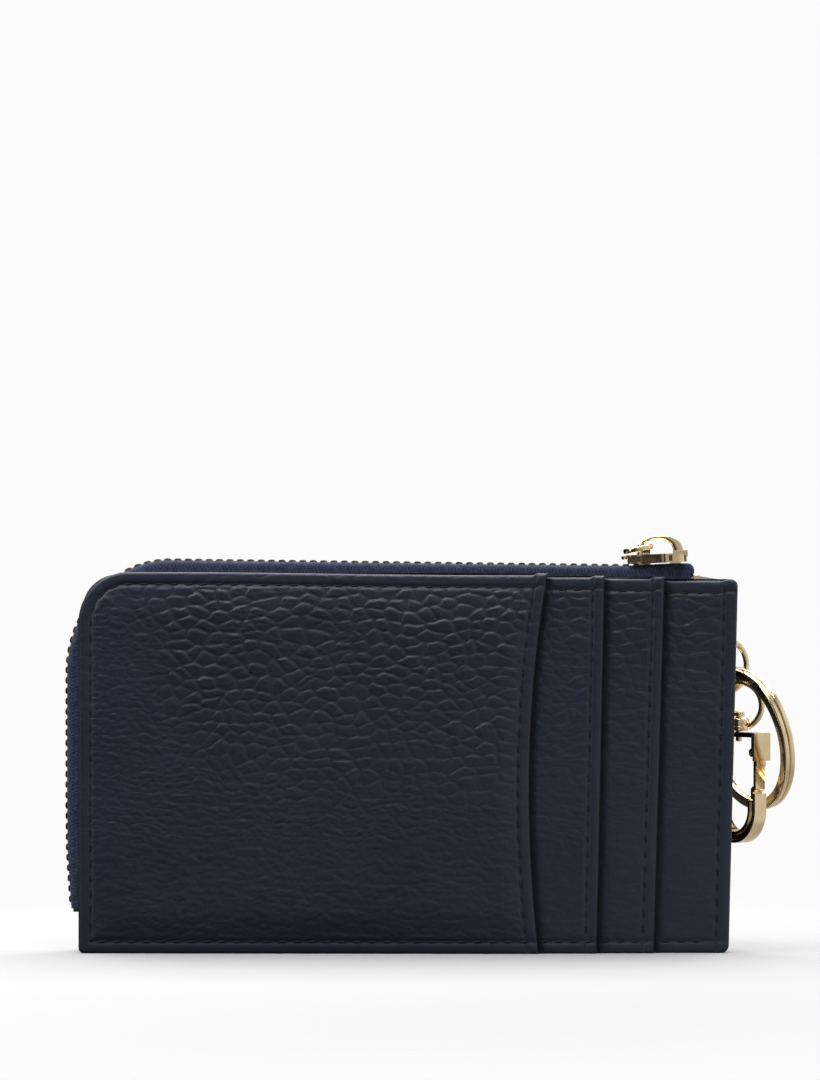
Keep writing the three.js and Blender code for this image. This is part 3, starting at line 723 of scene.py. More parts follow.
def border_path(ply, inset, right_inset):
    """The stitch line round a ply, from the top right over the left side to the bottom right."""
    top, foot = ply.high[2] - inset, ply.low[2] + inset
    cx, cz = ply.low[0] + ply.corner, ply.high[2] - ply.corner
    corner = arc(cx, cz, ply.corner - inset, math.pi / 2, math.pi, 24)
    ends = [ply.low[0] + inset, foot], [ply.edge(foot) - right_inset, foot]
    return np.array([[ply.edge(top) - right_inset, top], *corner, *ends])


def side_path(ply, inset, low, high):
    z = np.linspace(low, high, 60)
    return np.stack([ply.edge(z) - inset * np.sqrt(1 + ply.slope(z) ** 2), z], 1)


# ---- the slot face

POCKET, MIDDLE, RIGHT = (
    Ply(node, depth=1.17, open_edge=True)
    for node in ("front_pocket_panel", "middle_slot_panel", "right_slot_panel")
)
BASE = Ply("front_base_panel", depth=1.15)
BACK = Ply("back_panel", facing=1, depth=1.15)
MIDDLE.over, RIGHT.over, BASE.over = POCKET, MIDDLE, RIGHT


def fold_rise(ply, drop, rise):
    """The top edge sinks a little along its length and rises over the fold at the slot."""
    at_edge = ply.edge(ply.high[2])
    start = ply.low[0] + 16

    def lift(x):
        return -drop * smooth(x, start, at_edge - 8) + rise * smooth(x, at_edge - 2.9, at_edge - 2.0)

    return lift


def behind_puller(x, z):
    """1 where the puller rests against the back wall."""
    return (1 - smooth(np.abs(x - 47), 8, 20)) * smooth(z, 30, 44)


for ply, drop, rise in ((POCKET, 0.65, 0.4), (MIDDLE, 0.3, 0.35), (RIGHT, 0.35, 0.4), (BASE, 0.15, 0.35)):
    ply.lift = fold_rise(ply, drop, rise)
BACK.lift = lambda x: -1.25 * smooth(x, 54, 66)
BACK.corner -= 2.7  # its corner is a little fuller, and shows behind the front one
POCKET.foot = BACK.foot = 1.1
POCKET.puff = lambda x, z: 0.75 + 0.12 * noise(x, z, 16, 71)
for ply, puff_seed in ((MIDDLE, 72), (RIGHT, 73), (BASE, 74)):
    ply.puff = lambda x, z, seed=puff_seed: 0.06 * noise(x, z, 9, seed)
BACK.puff = lambda x, z: (0.5 + 0.12 * noise(x, z, 18, 75)) * (1 - 0.95 * behind_puller(x, z))


def pinch(x):
    """How far the back wall comes in to the right-hand seam."""
    points = node_points(BACK.node)
    depth = points[:, 1].max() - points[points[:, 0] > BACK.high[0] - 0.2][:, 1].max()
    return depth * smooth(x, BACK.high[0] - 9.9, BACK.high[0] - 0.4)


BACK.pinch = pinch


def pocket_grain(x, z):
    upper = 0.45 * smooth(z, 4, 40) + 0.55 * smooth(z, 36, 74)
    inner = 0.5 + 0.5 * smooth(x, -64, -36)
    amount = (0.06 + 0.39 * upper) * inner
    coarse = smooth(x + 0.35 * z, -52, -18) * smooth(z, 12, 44)
    return amount, coarse


def strip_grain(x, z):
    upper = smooth(z, 14, 72)
    return 0.06 + 0.2 * upper, 0.35 + 0.5 * upper


def back_grain(x, z):
    broad = 0.5 + 0.5 * noise(x, z, 24, 81)
    return (0.16 + 0.10 * broad) * (1 - 0.75 * behind_puller(x, z)), 0.55 + 0.45 * broad


leather_ply("front_pocket_leather", POCKET, pocket_grain, 11)
waist = float(POCKET.edge(np.linspace(0, POCKET.high[2], 60)).min())
for strip, ply, seed, covered in (
    ("middle_slot_leather", MIDDLE, 31, waist),
    ("right_slot_leather", RIGHT, 41, float(MIDDLE.edge(0.0))),
    ("front_base_leather", BASE, 51, float(RIGHT.edge(0.0))),
):
    leather_ply(strip, ply, strip_grain, seed, covered - 1.5, 0.3)
leather_ply("back_leather", BACK, back_grain, 61, step=0.38)


def slot_stitches():
    runs = []
    for ply in (POCKET, MIDDLE, RIGHT, BASE):
        inset = FOLD_SEAM if ply.open_edge else SIDE_SEAM

        def shown(x, z, ply=ply):
            clear = ply.side(x, z) > 0.3
            return clear & (ply.over.side(x, z) < -0.9) if ply.over else clear

        runs.append(seam_run(ply, border_path(ply, SEAM, 0.4 if ply.open_edge else inset), shown))
        ends = (SEAM + 0.8, ply.high[2] - SEAM - 0.5) if ply.open_edge else (SEAM, ply.high[2] - 0.4)
        runs.append(seam_run(ply, side_path(ply, inset, *ends), shown))
    return runs


stitched("slot_face_stitches", slot_stitches())
back_paths = border_path(BACK, SEAM, SIDE_SEAM), side_path(BACK, SIDE_SEAM, SEAM, BACK.high[2] - SEAM)
stitched("back_stitches", [seam_run(BACK, path, lambda x, z: x == x) for path in back_paths])


# ---- linings and gusset

LINING_THICK = 0.5


def lining(name, node):
    """A thin inner ply with softly rounded edges, following its CAD node."""
    ply = Ply(node)
    low, high = ply.low, ply.high
    rows = grid_lines(low[2], high[2], 2.5)
    offsets = grid_lines(0, high[0] - low[0], 1.5)
    z = np.repeat(rows[:, None], len(offsets), 1)
    left = ply.left(z)
    x = left + (ply.edge(z) - left) * (offsets / (high[0] - low[0]))[None]
    inside = np.minimum(np.maximum(ply.rim(x, z), 0), np.maximum(ply.side(x, z), 0))
    if high[1] > 2 > low[1]:  # the back one, which comes in with the back wall
        middle = high[1] - LINING_THICK / 2 - pinch(x)
    else:
        middle = (low[1] + high[1]) / 2
    half = LINING_THICK / 2 * np.sqrt(np.clip(1 - (1 - np.minimum(inside / 0.3, 1)) ** 2, 0.02, 1))
    y = middle + 0.05 * noise(x, z, 12, 91)
    points = np.concatenate([np.stack([x, y + side * half, z], -1).reshape(-1, 3) for side in (-1, 1)])
    quads, loop = grid_faces(x.shape)
    wall = np.stack([loop, loop + x.size, np.roll(loop, -1) + x.size, np.roll(loop, -1)], 1)
    piece(name, "wallet", LINING, (points, [quads, quads[:, ::-1] + x.size, wall]), node)


lining("front_lining_cloth", "front_lining")
lining("back_lining_cloth", "back_lining")


def gusset():
    low, high = node_box("bottom_gusset")
    front, height = low[1] - 0.2, (low[2] + high[2]) / 2 + 0.12
    rings = []
    for station in np.linspace(low[0], high[0], 160):
        back = high[1] - pinch(station) + 0.3
        section = soft_rectangle((back - front) / 2, (high[2] - low[2]) / 2, 0.35)
        rings.append([(station, (front + back) / 2 + a, height + b) for a, b in section])
    points, faces = loft(rings)
    shade = 0.55 + 0.35 * noise(points[:, 0], points[:, 1], 1.1, 95)
    piece("bottom_gusset_leather", "wallet", LEATHER, (points, faces), "bottom_gusset", 50, {"grain": shade})


gusset()

# ---- zip

TAPE_BOX = node_box("zip_tape_front")
TEETH_BOX = node_box("zip_teeth_front")
ZIP_MIDDLE = (TEETH_BOX[1][1] + node_box("zip_teeth_back")[0][1]) / 2
BEND_WIDE, BEND_TALL = 21.0, 23.0
PITCH = 2.09
TAPE_END_Z = 76.3


def crest_line():
    """The zip's crest in (x, z), from its right end over the top and down the left side."""
    right_x, top = TEETH_BOX[1][0], TEETH_BOX[1][2]
    left_x = TEETH_BOX[0][0] - 0.3
    bend = (circle(np.linspace(math.pi / 2, math.pi, 90)) + [1, -1]) * [BEND_WIDE, BEND_TALL] + [left_x, top]
    end = [left_x, 30.0], [left_x + 0.1, 20.0], [left_x + 0.85, TAPE_BOX[0][2] - 0.9]
    return resampled(np.array([[right_x, top - 1.28], *bend, *end]), 0.2)


CREST = crest_line()
CREST_AHEAD, CREST_OUT = flat_path(CREST)
CREST_RUN = length_along(CREST)


def crest_at(run):
    """Point, direction and outward direction of the crest, in 3-D, at lengths along it."""
    picked = []
    for source in (CREST, CREST_AHEAD, CREST_OUT):
        x, z = (np.interp(run, CREST_RUN, source[:, k]) for k in (0, 1))
        picked.append(np.stack([x, 0 * x, z], -1))
    picked[0][..., 1] = ZIP_MIDDLE
    return picked


def tape(name, sign, node):
    """A woven tape: it stands behind the leather, then bends in to the teeth."""
    profile = [(-9.0, 1.9), (-6.0, 1.9), (-4.0, 1.92)]
    profile += [(n, 1.94) for n in np.arange(-3.4, -1.55, 0.2)]
    profile += [(-1.3, 1.92), (-1.02, 1.84), (-0.8, 1.7), (-0.64, 1.5), (-0.58, 1.28), (-0.6, 1.1)]
    profile = np.array(profile)
    run = np.arange(0, CREST_RUN[-1], 0.24)
    centre, _, out = crest_at(run)
    normal = np.gradient(profile, axis=0)
    normal = np.stack([-normal[:, 1], normal[:, 0]], 1) / np.linalg.norm(normal, axis=1, keepdims=True)
    s, t = np.meshgrid(run, length_along(profile), indexing="ij")
    knit = np.sin(TAU * s / 0.72 + 2.1 * np.sin(TAU * t / 0.9)) * np.cos(TAU * t / 0.62)
    knit = knit + 0.5 * noise(s, t, 0.5, 101)
    fine = smooth(profile[:, 0], -6.2, -4.5)
    lifted = profile + normal * (0.2 + 0.05 * knit * fine)[..., None]
    under = np.broadcast_to(profile - normal * 0.2, lifted.shape)
    section = np.concatenate([lifted, under[:, ::-1]], 1)
    # Beside the slider the tape stands higher.
    rise = 0.62 * (1 - smooth(run, 2, 14))[:, None] * smooth(section[..., 0], -5, -1.5)
    height = (section[..., 0] + rise)[..., None]
    points = centre[:, None] + height * out[:, None] + sign * section[..., 1:] * Y
    weave = np.concatenate([0.5 + 0.36 * knit, np.full(knit.shape, 0.4)], 1)
    piece(name, "wallet", TAPE, loft(points), node, 60, {"weave": weave.ravel()})


def tooth(thick, reach_from, reach_to, top, foot, corner):
    """A part of a tooth: a block whose head is rounded, drawn out across the zip."""
    middle = (top + foot) / 2
    section = soft_rectangle(thick / 2, (top - foot) / 2, corner, 3)
    rings = []
    for part, size in ((0, 0.8), (0.08, 1.0), (0.9, 1.0), (1.0, 0.78)):
        depth = reach_from + (reach_to - reach_from) * part
        rings.append([(a, depth, b + middle) for a, b in section * size])
    return loft(rings)


def teeth(name, sign, node):
    """A row of teeth. Every second one has a tongue, and the others a pair of horns that take it."""
    clamp = tooth(1.5, 1.42, 0.62, 0.0, -1.35, 0.5)
    shank = tooth(1.1, 0.75, 0.12, -0.04, -1.1, 0.36)
    tongue = tooth(0.42, 0.3, -0.62, -0.12, -0.9, 0.14)
    horn = tooth(0.3, 0.5, -0.36, -0.08, -0.95, 0.1)
    parts = []
    for count, (place, a, o) in enumerate(zip(*crest_at(np.arange(4.6, CREST_RUN[-1] - 0.5, PITCH)))):
        tongued = (count % 2 == 0) == (sign < 0)
        heads = [(tongue, 0)] if tongued else [(horn, 0.42), (horn, -0.42)]
        for (points, faces), shift in [(clamp, 0), (shank, 0), *heads]:
            along, depth, height = points[:, :1] + shift, points[:, 1:2], points[:, 2:]
            parts.append((place + along * a + height * o + sign * depth * Y, faces))
    piece(name, "wallet", BRONZE, joined(parts), node, 50)


tape("zip_tape_front_cloth", -1, "zip_tape_front")
tape("zip_tape_back_cloth", 1, "zip_tape_back")
teeth("zip_teeth_front_row", -1, "zip_teeth_front")
teeth("zip_teeth_back_row", 1, "zip_teeth_back")


def tape_end():
    """The end of the tapes, folded down and sewn flat beside the slider's last place."""
    low = TEETH_BOX[1][0] - 1.6
    section = soft_rectangle(1.95, 1.55, 1.3, 6)
    rings = []
    for station in (0.0, 0.5, 1.0, 1.5, 1.9, 2.15, 2.3, 2.34):
        size = math.sqrt(max(0.02, 1 - max(0, (station - 1.0) / 1.36) ** 2))
        rings.append([(low + station, ZIP_MIDDLE + a * size, TAPE_END_Z + b * size) for a, b in section])
    points, faces = loft(rings)
    knit = np.sin(points[:, 0] * 9) * np.cos(points[:, 2] * 10 + points[:, 1] * 8)
    piece("zip_tape_end", "wallet", TAPE, (points, faces), sharp=60, attributes={"weave": 0.45 + 0.3 * knit})


def stop(node, material, left_trim=0.0):
    """A stop: a bevelled block with a groove where the tapes meet."""
    low, high = node_box(node)
    low[0] += left_trim
    body = block(*zip(low, high))
    across = (low[0] - 1, high[0] + 1), (ZIP_MIDDLE - 0.12, ZIP_MIDDLE + 0.12)
    mesh = worked(body, cuts=[block(*across, (high[2] - 0.25, high[2] + 1))], bevel=0.22)
    show(mesh, node + "_metal", "wallet", material, node)


tape_end()
stop("zip_top_stop", GOLD)
stop("zip_bottom_stop", BRONZE, 1.1)

# ---- slider, arch, link, puller

SLIDER_LOW, SLIDER_HIGH = node_box("slider_body")
PLATE_TOP = SLIDER_HIGH[2] - 0.05
PLATE_MIDDLE = (SLIDER_LOW[0] + SLIDER_HIGH[0]) / 2
PLATE_LEAN = math.radians(2.7)
LINK_LEAN = math.radians(11.5)
ARCH_POWER = 2.35
SLIDER_TILT = (
    Matrix.Translation((PLATE_MIDDLE, 0, PLATE_TOP))
    @ Matrix.Rotation(-PLATE_LEAN, 4, "Y")
    @ Matrix.Translation((-PLATE_MIDDLE, 0, -PLATE_TOP))
)
ZIP_CENTRE = Matrix.Translation((0, ZIP_MIDDLE, 0))


def slider_outline(tail, nose, left, right):
    """A slider plate from above: narrow tail on the left, broad shoulders on the right."""
    shoulder = circle(np.linspace(0, math.pi / 2, 9)) * [2.0, nose] + [right - 2.0, 0]
    part = np.linspace(0, 1, 10)
    waist = np.stack([left + 7.4 - 4.6 * part, nose - (nose - tail) * smooth(part, 0, 1)], 1)
    tail_end = circle(np.linspace(math.pi / 2, math.pi, 7)) * [1.2, tail] + [left + 1.2, 0]
    half = np.concatenate([shoulder, waist, tail_end])
    return np.concatenate([half, half[-2:0:-1] * [1, -1]])


def slider():
    left, right = SLIDER_LOW[0], SLIDER_HIGH[0]
    rim_foot = PLATE_TOP - 1.8
    low_edge, high_edge = rim_foot + 0.3, PLATE_TOP - 0.35
    plate = prism(slider_outline(2.75, 3.62, left + 0.1, right - 0.1), rim_foot, PLATE_TOP)
    tail = prism(slider_outline(1.5, 2.0, left - 0.8, right - 3), PLATE_TOP - 0.85, PLATE_TOP - 0.15)
    raised = block((right - 3.0, right - 0.15), (-3.1, 3.1), (PLATE_TOP - 0.5, PLATE_TOP + 0.5))
    cuts = [block((left - 2, right + 1), (-1.8, 1.8), (rim_foot - 1, PLATE_TOP - 0.8))]  # the channel
    for side in (-1, 1):
        for start, end, deep, low, high in (
            (left + 0.5, left + 3.0, 2.0, low_edge, high_edge),
            (left + 3.75, left + 6.4, 2.15, low_edge, high_edge),
            (right - 5.05, right - 4.65, 2.7, rim_foot - 1, PLATE_TOP + 0.2),
            (right - 4.0, right - 3.3, 2.7, low_edge, high_edge),
            (right - 2.3, right - 0.75, 2.5, PLATE_TOP - 0.2, PLATE_TOP + 0.14),
        ):
            cuts.append(block((start, end), sorted((side * deep, side * 6)), (low, high)))
    mesh = worked(plate, [tail, raised], cuts, bevel=0.16, moved=ZIP_CENTRE @ SLIDER_TILT)
    # The walls and floors of the recesses take the dark bronze finish as painted shade, where the real slider
    # is the same gold metal in shadow.
    middles = np.array([face.center for face in mesh.polygons]) / MM
    along, across, height = (middles - [PLATE_MIDDLE, ZIP_MIDDLE, PLATE_TOP]).T
    reach = np.abs(across)
    widest = np.where(along < 0, 2.45, 3.0)
    painted_shade_faces = (reach > 1.9) & (reach < widest) & (height > -1.75) & (height < 0.15) & (np.abs(along) < 6.2)
    show(mesh, "slider_upper_plate", "slider", GOLD, "slider_body", second=BRONZE, in_second=painted_shade_faces)

    lower_top = SLIDER_HIGH[2] - 4.0
    lower = prism(slider_outline(1.28, 1.33, left, right), lower_top - 1.3, lower_top)
    post = block((right - 3.6, right - 1.4), (-0.3, 0.3), (lower_top - 0.5, PLATE_TOP - 0.7))
    show(worked(lower, [post], bevel=0.12, moved=ZIP_CENTRE), "slider_lower_plate", "slider", GOLD)


def bowed(left, right, foot, top):
    """An arch in (x, z) from its left foot to its right one, squarer than an ellipse."""
    turn = circle(np.linspace(0, math.pi, 61))
    bend = np.sign(turn) * np.abs(turn) ** (2 / ARCH_POWER)
    return np.array([(left + right) / 2, foot]) + bend * [(left - right) / 2, top - foot]


def arch():
    """The arch over the slider: a thin band that broadens into its right-hand foot."""
    low, high = node_box("slider_crown")
    left, foot = low[0] - 1.1, low[2] - 0.45
    outer = bowed(left, high[0], foot, high[2])
    inner = bowed(left + 1.0, high[0] - 2.0, foot, high[2] - 0.68)
    rings = []
    for a, b in zip(outer, inner):
        middle, reach = (a + b) / 2, np.linalg.norm(a - b) / 2
        out = (a - b) / np.linalg.norm(a - b)
        section = soft_rectangle(reach, 0.85, min(0.34, reach * 0.8), 3)
        rings.append([(middle[0] + p * out[0], ZIP_MIDDLE + q, middle[1] + p * out[1]) for p, q in section])
    points, faces = loft(rings)
    tilt = np.array(SLIDER_TILT)
    piece("slider_arch", "slider", GOLD, (points @ tilt[:3, :3].T + tilt[:3, 3], faces), "slider_crown", 50)


def link_and_puller():
    low, high = node_box("puller_link")
    centre = (low + high) / 2
    half_x, half_y = (high[:2] - low[:2] - high[2] + low[2]) / 2
    loop = resampled(soft_rectangle(half_x, half_y, min(half_x, half_y) * 0.9, 12), 0.25, True)
    spot = Placing(centre - 0.9 * X, X * math.cos(LINK_LEAN) + Z * math.sin(LINK_LEAN), Y)
    solid = spot.wire(loop, flat_path(loop, True)[1], soft_rectangle(0.42, 0.52, 0.32), True)
    piece("puller_link_wire", "puller_link_body", GOLD, solid, "puller_link", 60)

    low, high = node_box("puller_tab")
    eye_z = centre[2] + 0.35
    hang = Placing((centre[0] + 0.3, centre[1] + half_y, eye_z), X, Z)
    thick, corner = 0.9, 2.2
    bottom = low[2] - eye_z
    wide = (high[0] - low[0]) / 2
    outline = [(1.3, -1.0), (1.4, -3.6), (1.9, -4.6), (2.7, -5.6), (3.1, -6.9), (wide, -9.5)]
    outline += [(wide, bottom + corner), *arc(wide - corner, bottom + corner, corner, 0, -math.pi / 2, 8)]
    outline = [*outline, *((-x, z) for x, z in outline[::-1])][::-1]
    inset = [(x * 0.66, (z + 10.5) * 0.62 - 10.9) for x, z in outline]
    sunk = [prism(inset, *sorted((side * 0.3, side * 2))) for side in (-1, 1)]
    eye = laid_down(disc(1.2, -1.3, 1.3, sides=36), [2, 1, 0])
    bore = laid_down(disc(0.76, -3, 3, sides=36), [2, 1, 0])
    blade = prism(outline, -thick / 2, thick / 2)
    mesh = worked(blade, [eye], [bore, *sunk], bevel=0.16, moved=hang.matrix())
    show(mesh, "puller_tab_metal", "puller", GOLD, "puller_tab")


slider()
arch()
link_and_puller()

# ---- key tab, D-ring, key ring

TAB_LOW, TAB_HIGH = node_box("key_tab")
TAB_TURN = 1.9  # outer radius of the strap's turn round the D-ring's bar
TAB_PLY = 0.88
TAB_LINES = 26  # points across the strap on each side
D_TURN = 38
D_LOW, D_HIGH = node_box("d_ring")
D_BAR = TAB_HIGH[0] - TAB_TURN, TAB_HIGH[1] - TAB_TURN
D_WIRE = 0.55
RING_YAW = math.radians(8)  # the ring has swung a little on its D-ring


def d_ring():
    place = Placing((*D_BAR, (D_LOW[2] + D_HIGH[2]) / 2), heading(D_TURN), Z)
    radius = (D_HIGH[2] - D_LOW[2]) / 2 - D_WIRE
    reach, bend = 3.3, 1.3
    outline = [[0.0, 0.0], *arc(bend, bend - radius, bend, math.pi, 1.5 * math.pi, 9)]
    outline += arc(reach, 0, radius, -math.pi / 2, math.pi / 2, 40)
    outline += arc(bend, radius - bend, bend, math.pi / 2, math.pi, 9)
    loop = resampled(outline, 0.3, True)
    solid = place.wire(loop, flat_path(loop, True)[1], round_section(D_WIRE, 16), True)
    piece("d_ring_wire", "d_ring_body", GOLD, solid, "d_ring")


def key_tab():
    """A strap that lies on the back wall, turns round the D-ring's bar and comes back under itself."""
    low, high = TAB_LOW, TAB_HIGH
    outer, inner = low[1] + 1.0 + TAB_PLY / 2 + 0.02, low[1] + 1.0 - TAB_PLY / 2 - 0.02
    path = [(low[0], outer), (52.0, outer + 0.02), (56.5, outer - 0.12)]
    path += arc(*D_BAR, 0.98 + TAB_PLY / 2, math.radians(118), math.radians(-112), 30)
    path += [(57.5, inner - 0.06), (54.0, inner), (low[0] + 0.6, inner)]
    for _ in range(2):
        path = resampled(path, 0.35)
        path[1:-1] = (path[:-2] + 2 * path[1:-1] + path[2:]) / 4
    half_height, middle = (high[2] - low[2]) / 2, (high[2] + low[2]) / 2
    rings = []
    for centre, out in zip(path, flat_path(path)[1]):
        ring = []
        for side in (1, -1):
            for part in np.linspace(-1, 1, TAB_LINES) * side:
                edge = 1 - abs(part)
                thin = math.sqrt(min(1, 0.12 + edge * half_height / 0.32)) if edge < 0.08 else 1
                ring.append([*(centre + side * TAB_PLY / 2 * thin * out), middle + part * half_height])
        rings.append(ring)
    points, faces = loft(rings)
    shade = 0.6 + 0.35 * noise(points[:, 0] + points[:, 1], points[:, 2], 0.9, 120)
    attributes = {"grain": np.clip(shade, 0, 1)}
    piece("key_tab_strap", "wallet", LEATHER, (points, faces), "key_tab", 60, attributes)

    runs = []
    surface = outer + TAB_PLY / 2 - 0.08
    left, right, foot, top = low[0] + 1.2, 57.0, low[2] + 1.3, high[2] - 1.3
    corners = [(left, foot), (left, top), (right, top), (right, foot), (left, foot)]
    for (x0, z0), (x1, z1) in zip(corners[:-1], corners[1:]):
        length = math.hypot(x1 - x0, z1 - z0)
        count = max(2, round(length / 2.7))
        part = (np.arange(count) + 0.5) / count
        places = np.stack([x0 + (x1 - x0) * part, np.full(count, surface), z0 + (z1 - z0) * part], 1)
        ahead = np.tile([(x1 - x0) / length, 0, (z1 - z0) / length], (count, 1))
        runs.append((places, ahead, np.tile(Y, (count, 1))))
    stitched("key_tab_stitches", runs)


def ring_frame():
    """Centre and plane of the split ring: its CAD node, turned a little about the point it hangs from."""
    points = node_points("key_ring")
    centre = points.mean(0)
    _, _, axes = np.linalg.svd(points - centre, full_matrices=False)
    out = axes[2] * (-1 if axes[2][0] > 0 else 1)
    up = Z - out * out[2]
    up /= np.linalg.norm(up)
    outer = np.linalg.norm(points - centre, axis=1).max()
    hung = centre + up * (outer - 1.1)
    turn = np.array(Matrix.Rotation(RING_YAW, 3, "Z"))
    return Placing(hung + turn @ (centre - hung), turn @ np.cross(up, out), turn @ up), outer


def key_ring():
    """A split ring: one flat wire wound twice, stepping across where its ends lie."""
    place, outer = ring_frame()
    radial, layer = 2.2, 1.2
    radius = math.sqrt(outer**2 - 1.1**2) - radial / 2
    step = math.radians(34)
    travel = np.linspace(0, 2 * TAU - step - math.radians(1.5), 340)
    round_it = circle(math.radians(215) + travel)
    side = 0.61 - 1.22 * smooth(travel, TAU - step, TAU)
    sections = np.repeat(soft_rectangle(radial / 2, layer / 2 - 0.03, 0.34, 5)[None], len(travel), 0)
    for row, taper in ((0, 0.6), (1, 0.86), (-2, 0.86), (-1, 0.6)):
        sections[row] *= taper
    solid = place.wire(np.column_stack([radius * round_it, side]), round_it, sections)
    piece("key_ring_coils", "key_ring_body", GOLD, solid, "key_ring", 60)


d_ring()
key_tab()
key_ring()

# ---- swivel hook

PIN_LOW, PIN_HIGH = node_box("swivel_pin")
EYE_LOW, EYE_HIGH = node_box("swivel_eye")
HOOK_LOW, HOOK_HIGH = node_box("hook_body")
SWIVEL = (PIN_LOW + PIN_HIGH)[:2] / 2
EYE_TURN, HOOK_TURN = -15, -52
EYE_RADIUS, EYE_WIRE = 4.7, 0.6
HOOK = Placing((*SWIVEL, 0), heading(HOOK_TURN), Z)
HALF, ARM, HOOK_TOP, BOW, THICK = 6.8, 2.3, HOOK_HIGH[2], HOOK_LOW[2] + 6.8, 3.0
NOSE, LIP, LIP_WIDE = BOW + 1.9, BOW + 3.3, 0.7
PIVOT_X, PIVOT_Z, KNUCKLE, BAR, LUG = 5.1, HOOK_TOP - 4.0, 0.85, 0.95, 1.0
PIVOT, PIVOT_BORE = (PIVOT_X, PIVOT_Z), 0.42


def swivel():
    place = Placing((*SWIVEL, EYE_HIGH[2] - EYE_WIRE - EYE_RADIUS), heading(EYE_TURN), Z)
    start = -math.acos(1.7 / EYE_RADIUS)  # where the ring runs into its collar
    turn = circle(np.linspace(start, math.pi - start, 90))
    ring = place.wire(EYE_RADIUS * turn, turn, round_section(EYE_WIRE, 16))
    profile = [(0.95, 0), (1.75, 0), (2.0, 0.12), (2.1, 0.4), (2.1, 0.85), (1.98, 1.0), (1.72, 1.1)]
    profile += [(1.72, 1.3), (1.98, 1.42), (2.08, 1.6), (2.06, 2.15), (1.85, 2.45), (1.6, 2.55), (0.95, 2.55)]
    collar = turned([(r, EYE_LOW[2] + z) for r, z in profile], 48, SWIVEL, True)
    piece("swivel_eye_metal", "eye", GOLD, joined([ring, collar]), "swivel_eye", 42)

    foot, head = PIN_LOW[2], PIN_HIGH[2]
    profile = [(0.02, foot), (0.5, foot), (0.65, foot + 0.15), (0.65, head - 1.2), (1.05, head - 1.2)]
    profile += [(1.15, head - 1.1), (1.15, head - 0.55), (1.05, head - 0.3), (0.8, head - 0.1)]
    profile += [(0.45, head - 0.01), (0.02, head)]
    piece("swivel_pin_metal", "hook", GOLD, turned(profile, 36, SWIVEL), "swivel_pin", 42)


def hook():
    inner = HALF - ARM
    outline = [(HALF, BOW), (HALF, LIP), (HALF - LIP_WIDE, LIP), (HALF - LIP_WIDE, NOSE), (inner, NOSE)]
    outline += arc(0, BOW, inner, 0, -math.pi, 48)
    outline += arc(-inner + 2, HOOK_TOP - BAR - 2.0, 2.0, math.pi, math.pi / 2, 10)
    outline.append((PIVOT_X - 0.1, HOOK_TOP - BAR))
    outline += arc(*PIVOT, KNUCKLE, math.radians(97), TAU, 30)
    outline += [(HALF, PIVOT_Z + 0.6), (HALF, HOOK_TOP - 0.6), (HALF - 0.6, HOOK_TOP)]
    outline += arc(-HALF + 2.7, HOOK_TOP - 2.7, 2.7, math.pi / 2, math.pi, 10)
    outline += arc(0, BOW, HALF, -math.pi, 0, 64)[:-1]
    body = prism(outline[::-1], -THICK / 2, THICK / 2)
    around = ((PIVOT_X - KNUCKLE - 0.4, HALF + 1), (PIVOT_Z - KNUCKLE - 1, HOOK_TOP - BAR))
    cuts = [block(*around, (-0.6, 0.6)), block(*around, (LUG, 3)), block(*around, (-3, -LUG))]
    cuts.append(disc(PIVOT_BORE, -THICK, THICK, PIVOT, 28))
    cuts.append(laid_down(disc(0.95, PIN_LOW[2] - 0.3, HOOK_TOP + 1, sides=32), [0, 2, 1]))
    wall = 0.62
    hollow = arc(0, BOW, HALF - wall, -math.pi, 0, 48)
    hollow += [(HALF - wall, NOSE - 0.4), (inner + wall, NOSE - 0.4)]
    hollow += arc(0, BOW, inner + wall, 0, -math.pi, 48)
    hollow += [(-inner - wall, HOOK_TOP - 5.2), (-HALF + wall, HOOK_TOP - 5.2)]
    cuts += [prism(hollow, *sorted((side * 1.18, side * 3))) for side in (-1, 1)]
    mesh = worked(body, cuts=cuts, bevel=0.3, segments=4, angle=34, moved=HOOK.matrix())
    show(mesh, "hook_body_metal", "hook", GOLD, "hook_body")

    half = LUG - 0.02
    profile = [(0.02, -half), (0.32, -half), (0.4, -half + 0.08)]
    points, faces = turned([*profile, *((r, -z) for r, z in profile[::-1])], 24, PIVOT)
    piece("gate_pin_metal", "hook", STEEL, (HOOK.points(points), faces), "gate_pin", 42)


def cut_solid(base, cuts):
    """The points and faces of a base with others cut away, for further work."""
    mesh = worked(base, cuts=cuts, bevel=0)
    by_corners = {}
    for face in mesh.polygons:
        by_corners.setdefault(len(face.vertices), []).append(list(face.vertices))
    return np.array([v.co for v in mesh.vertices]) / MM, [np.array(faces) for faces in by_corners.values()]


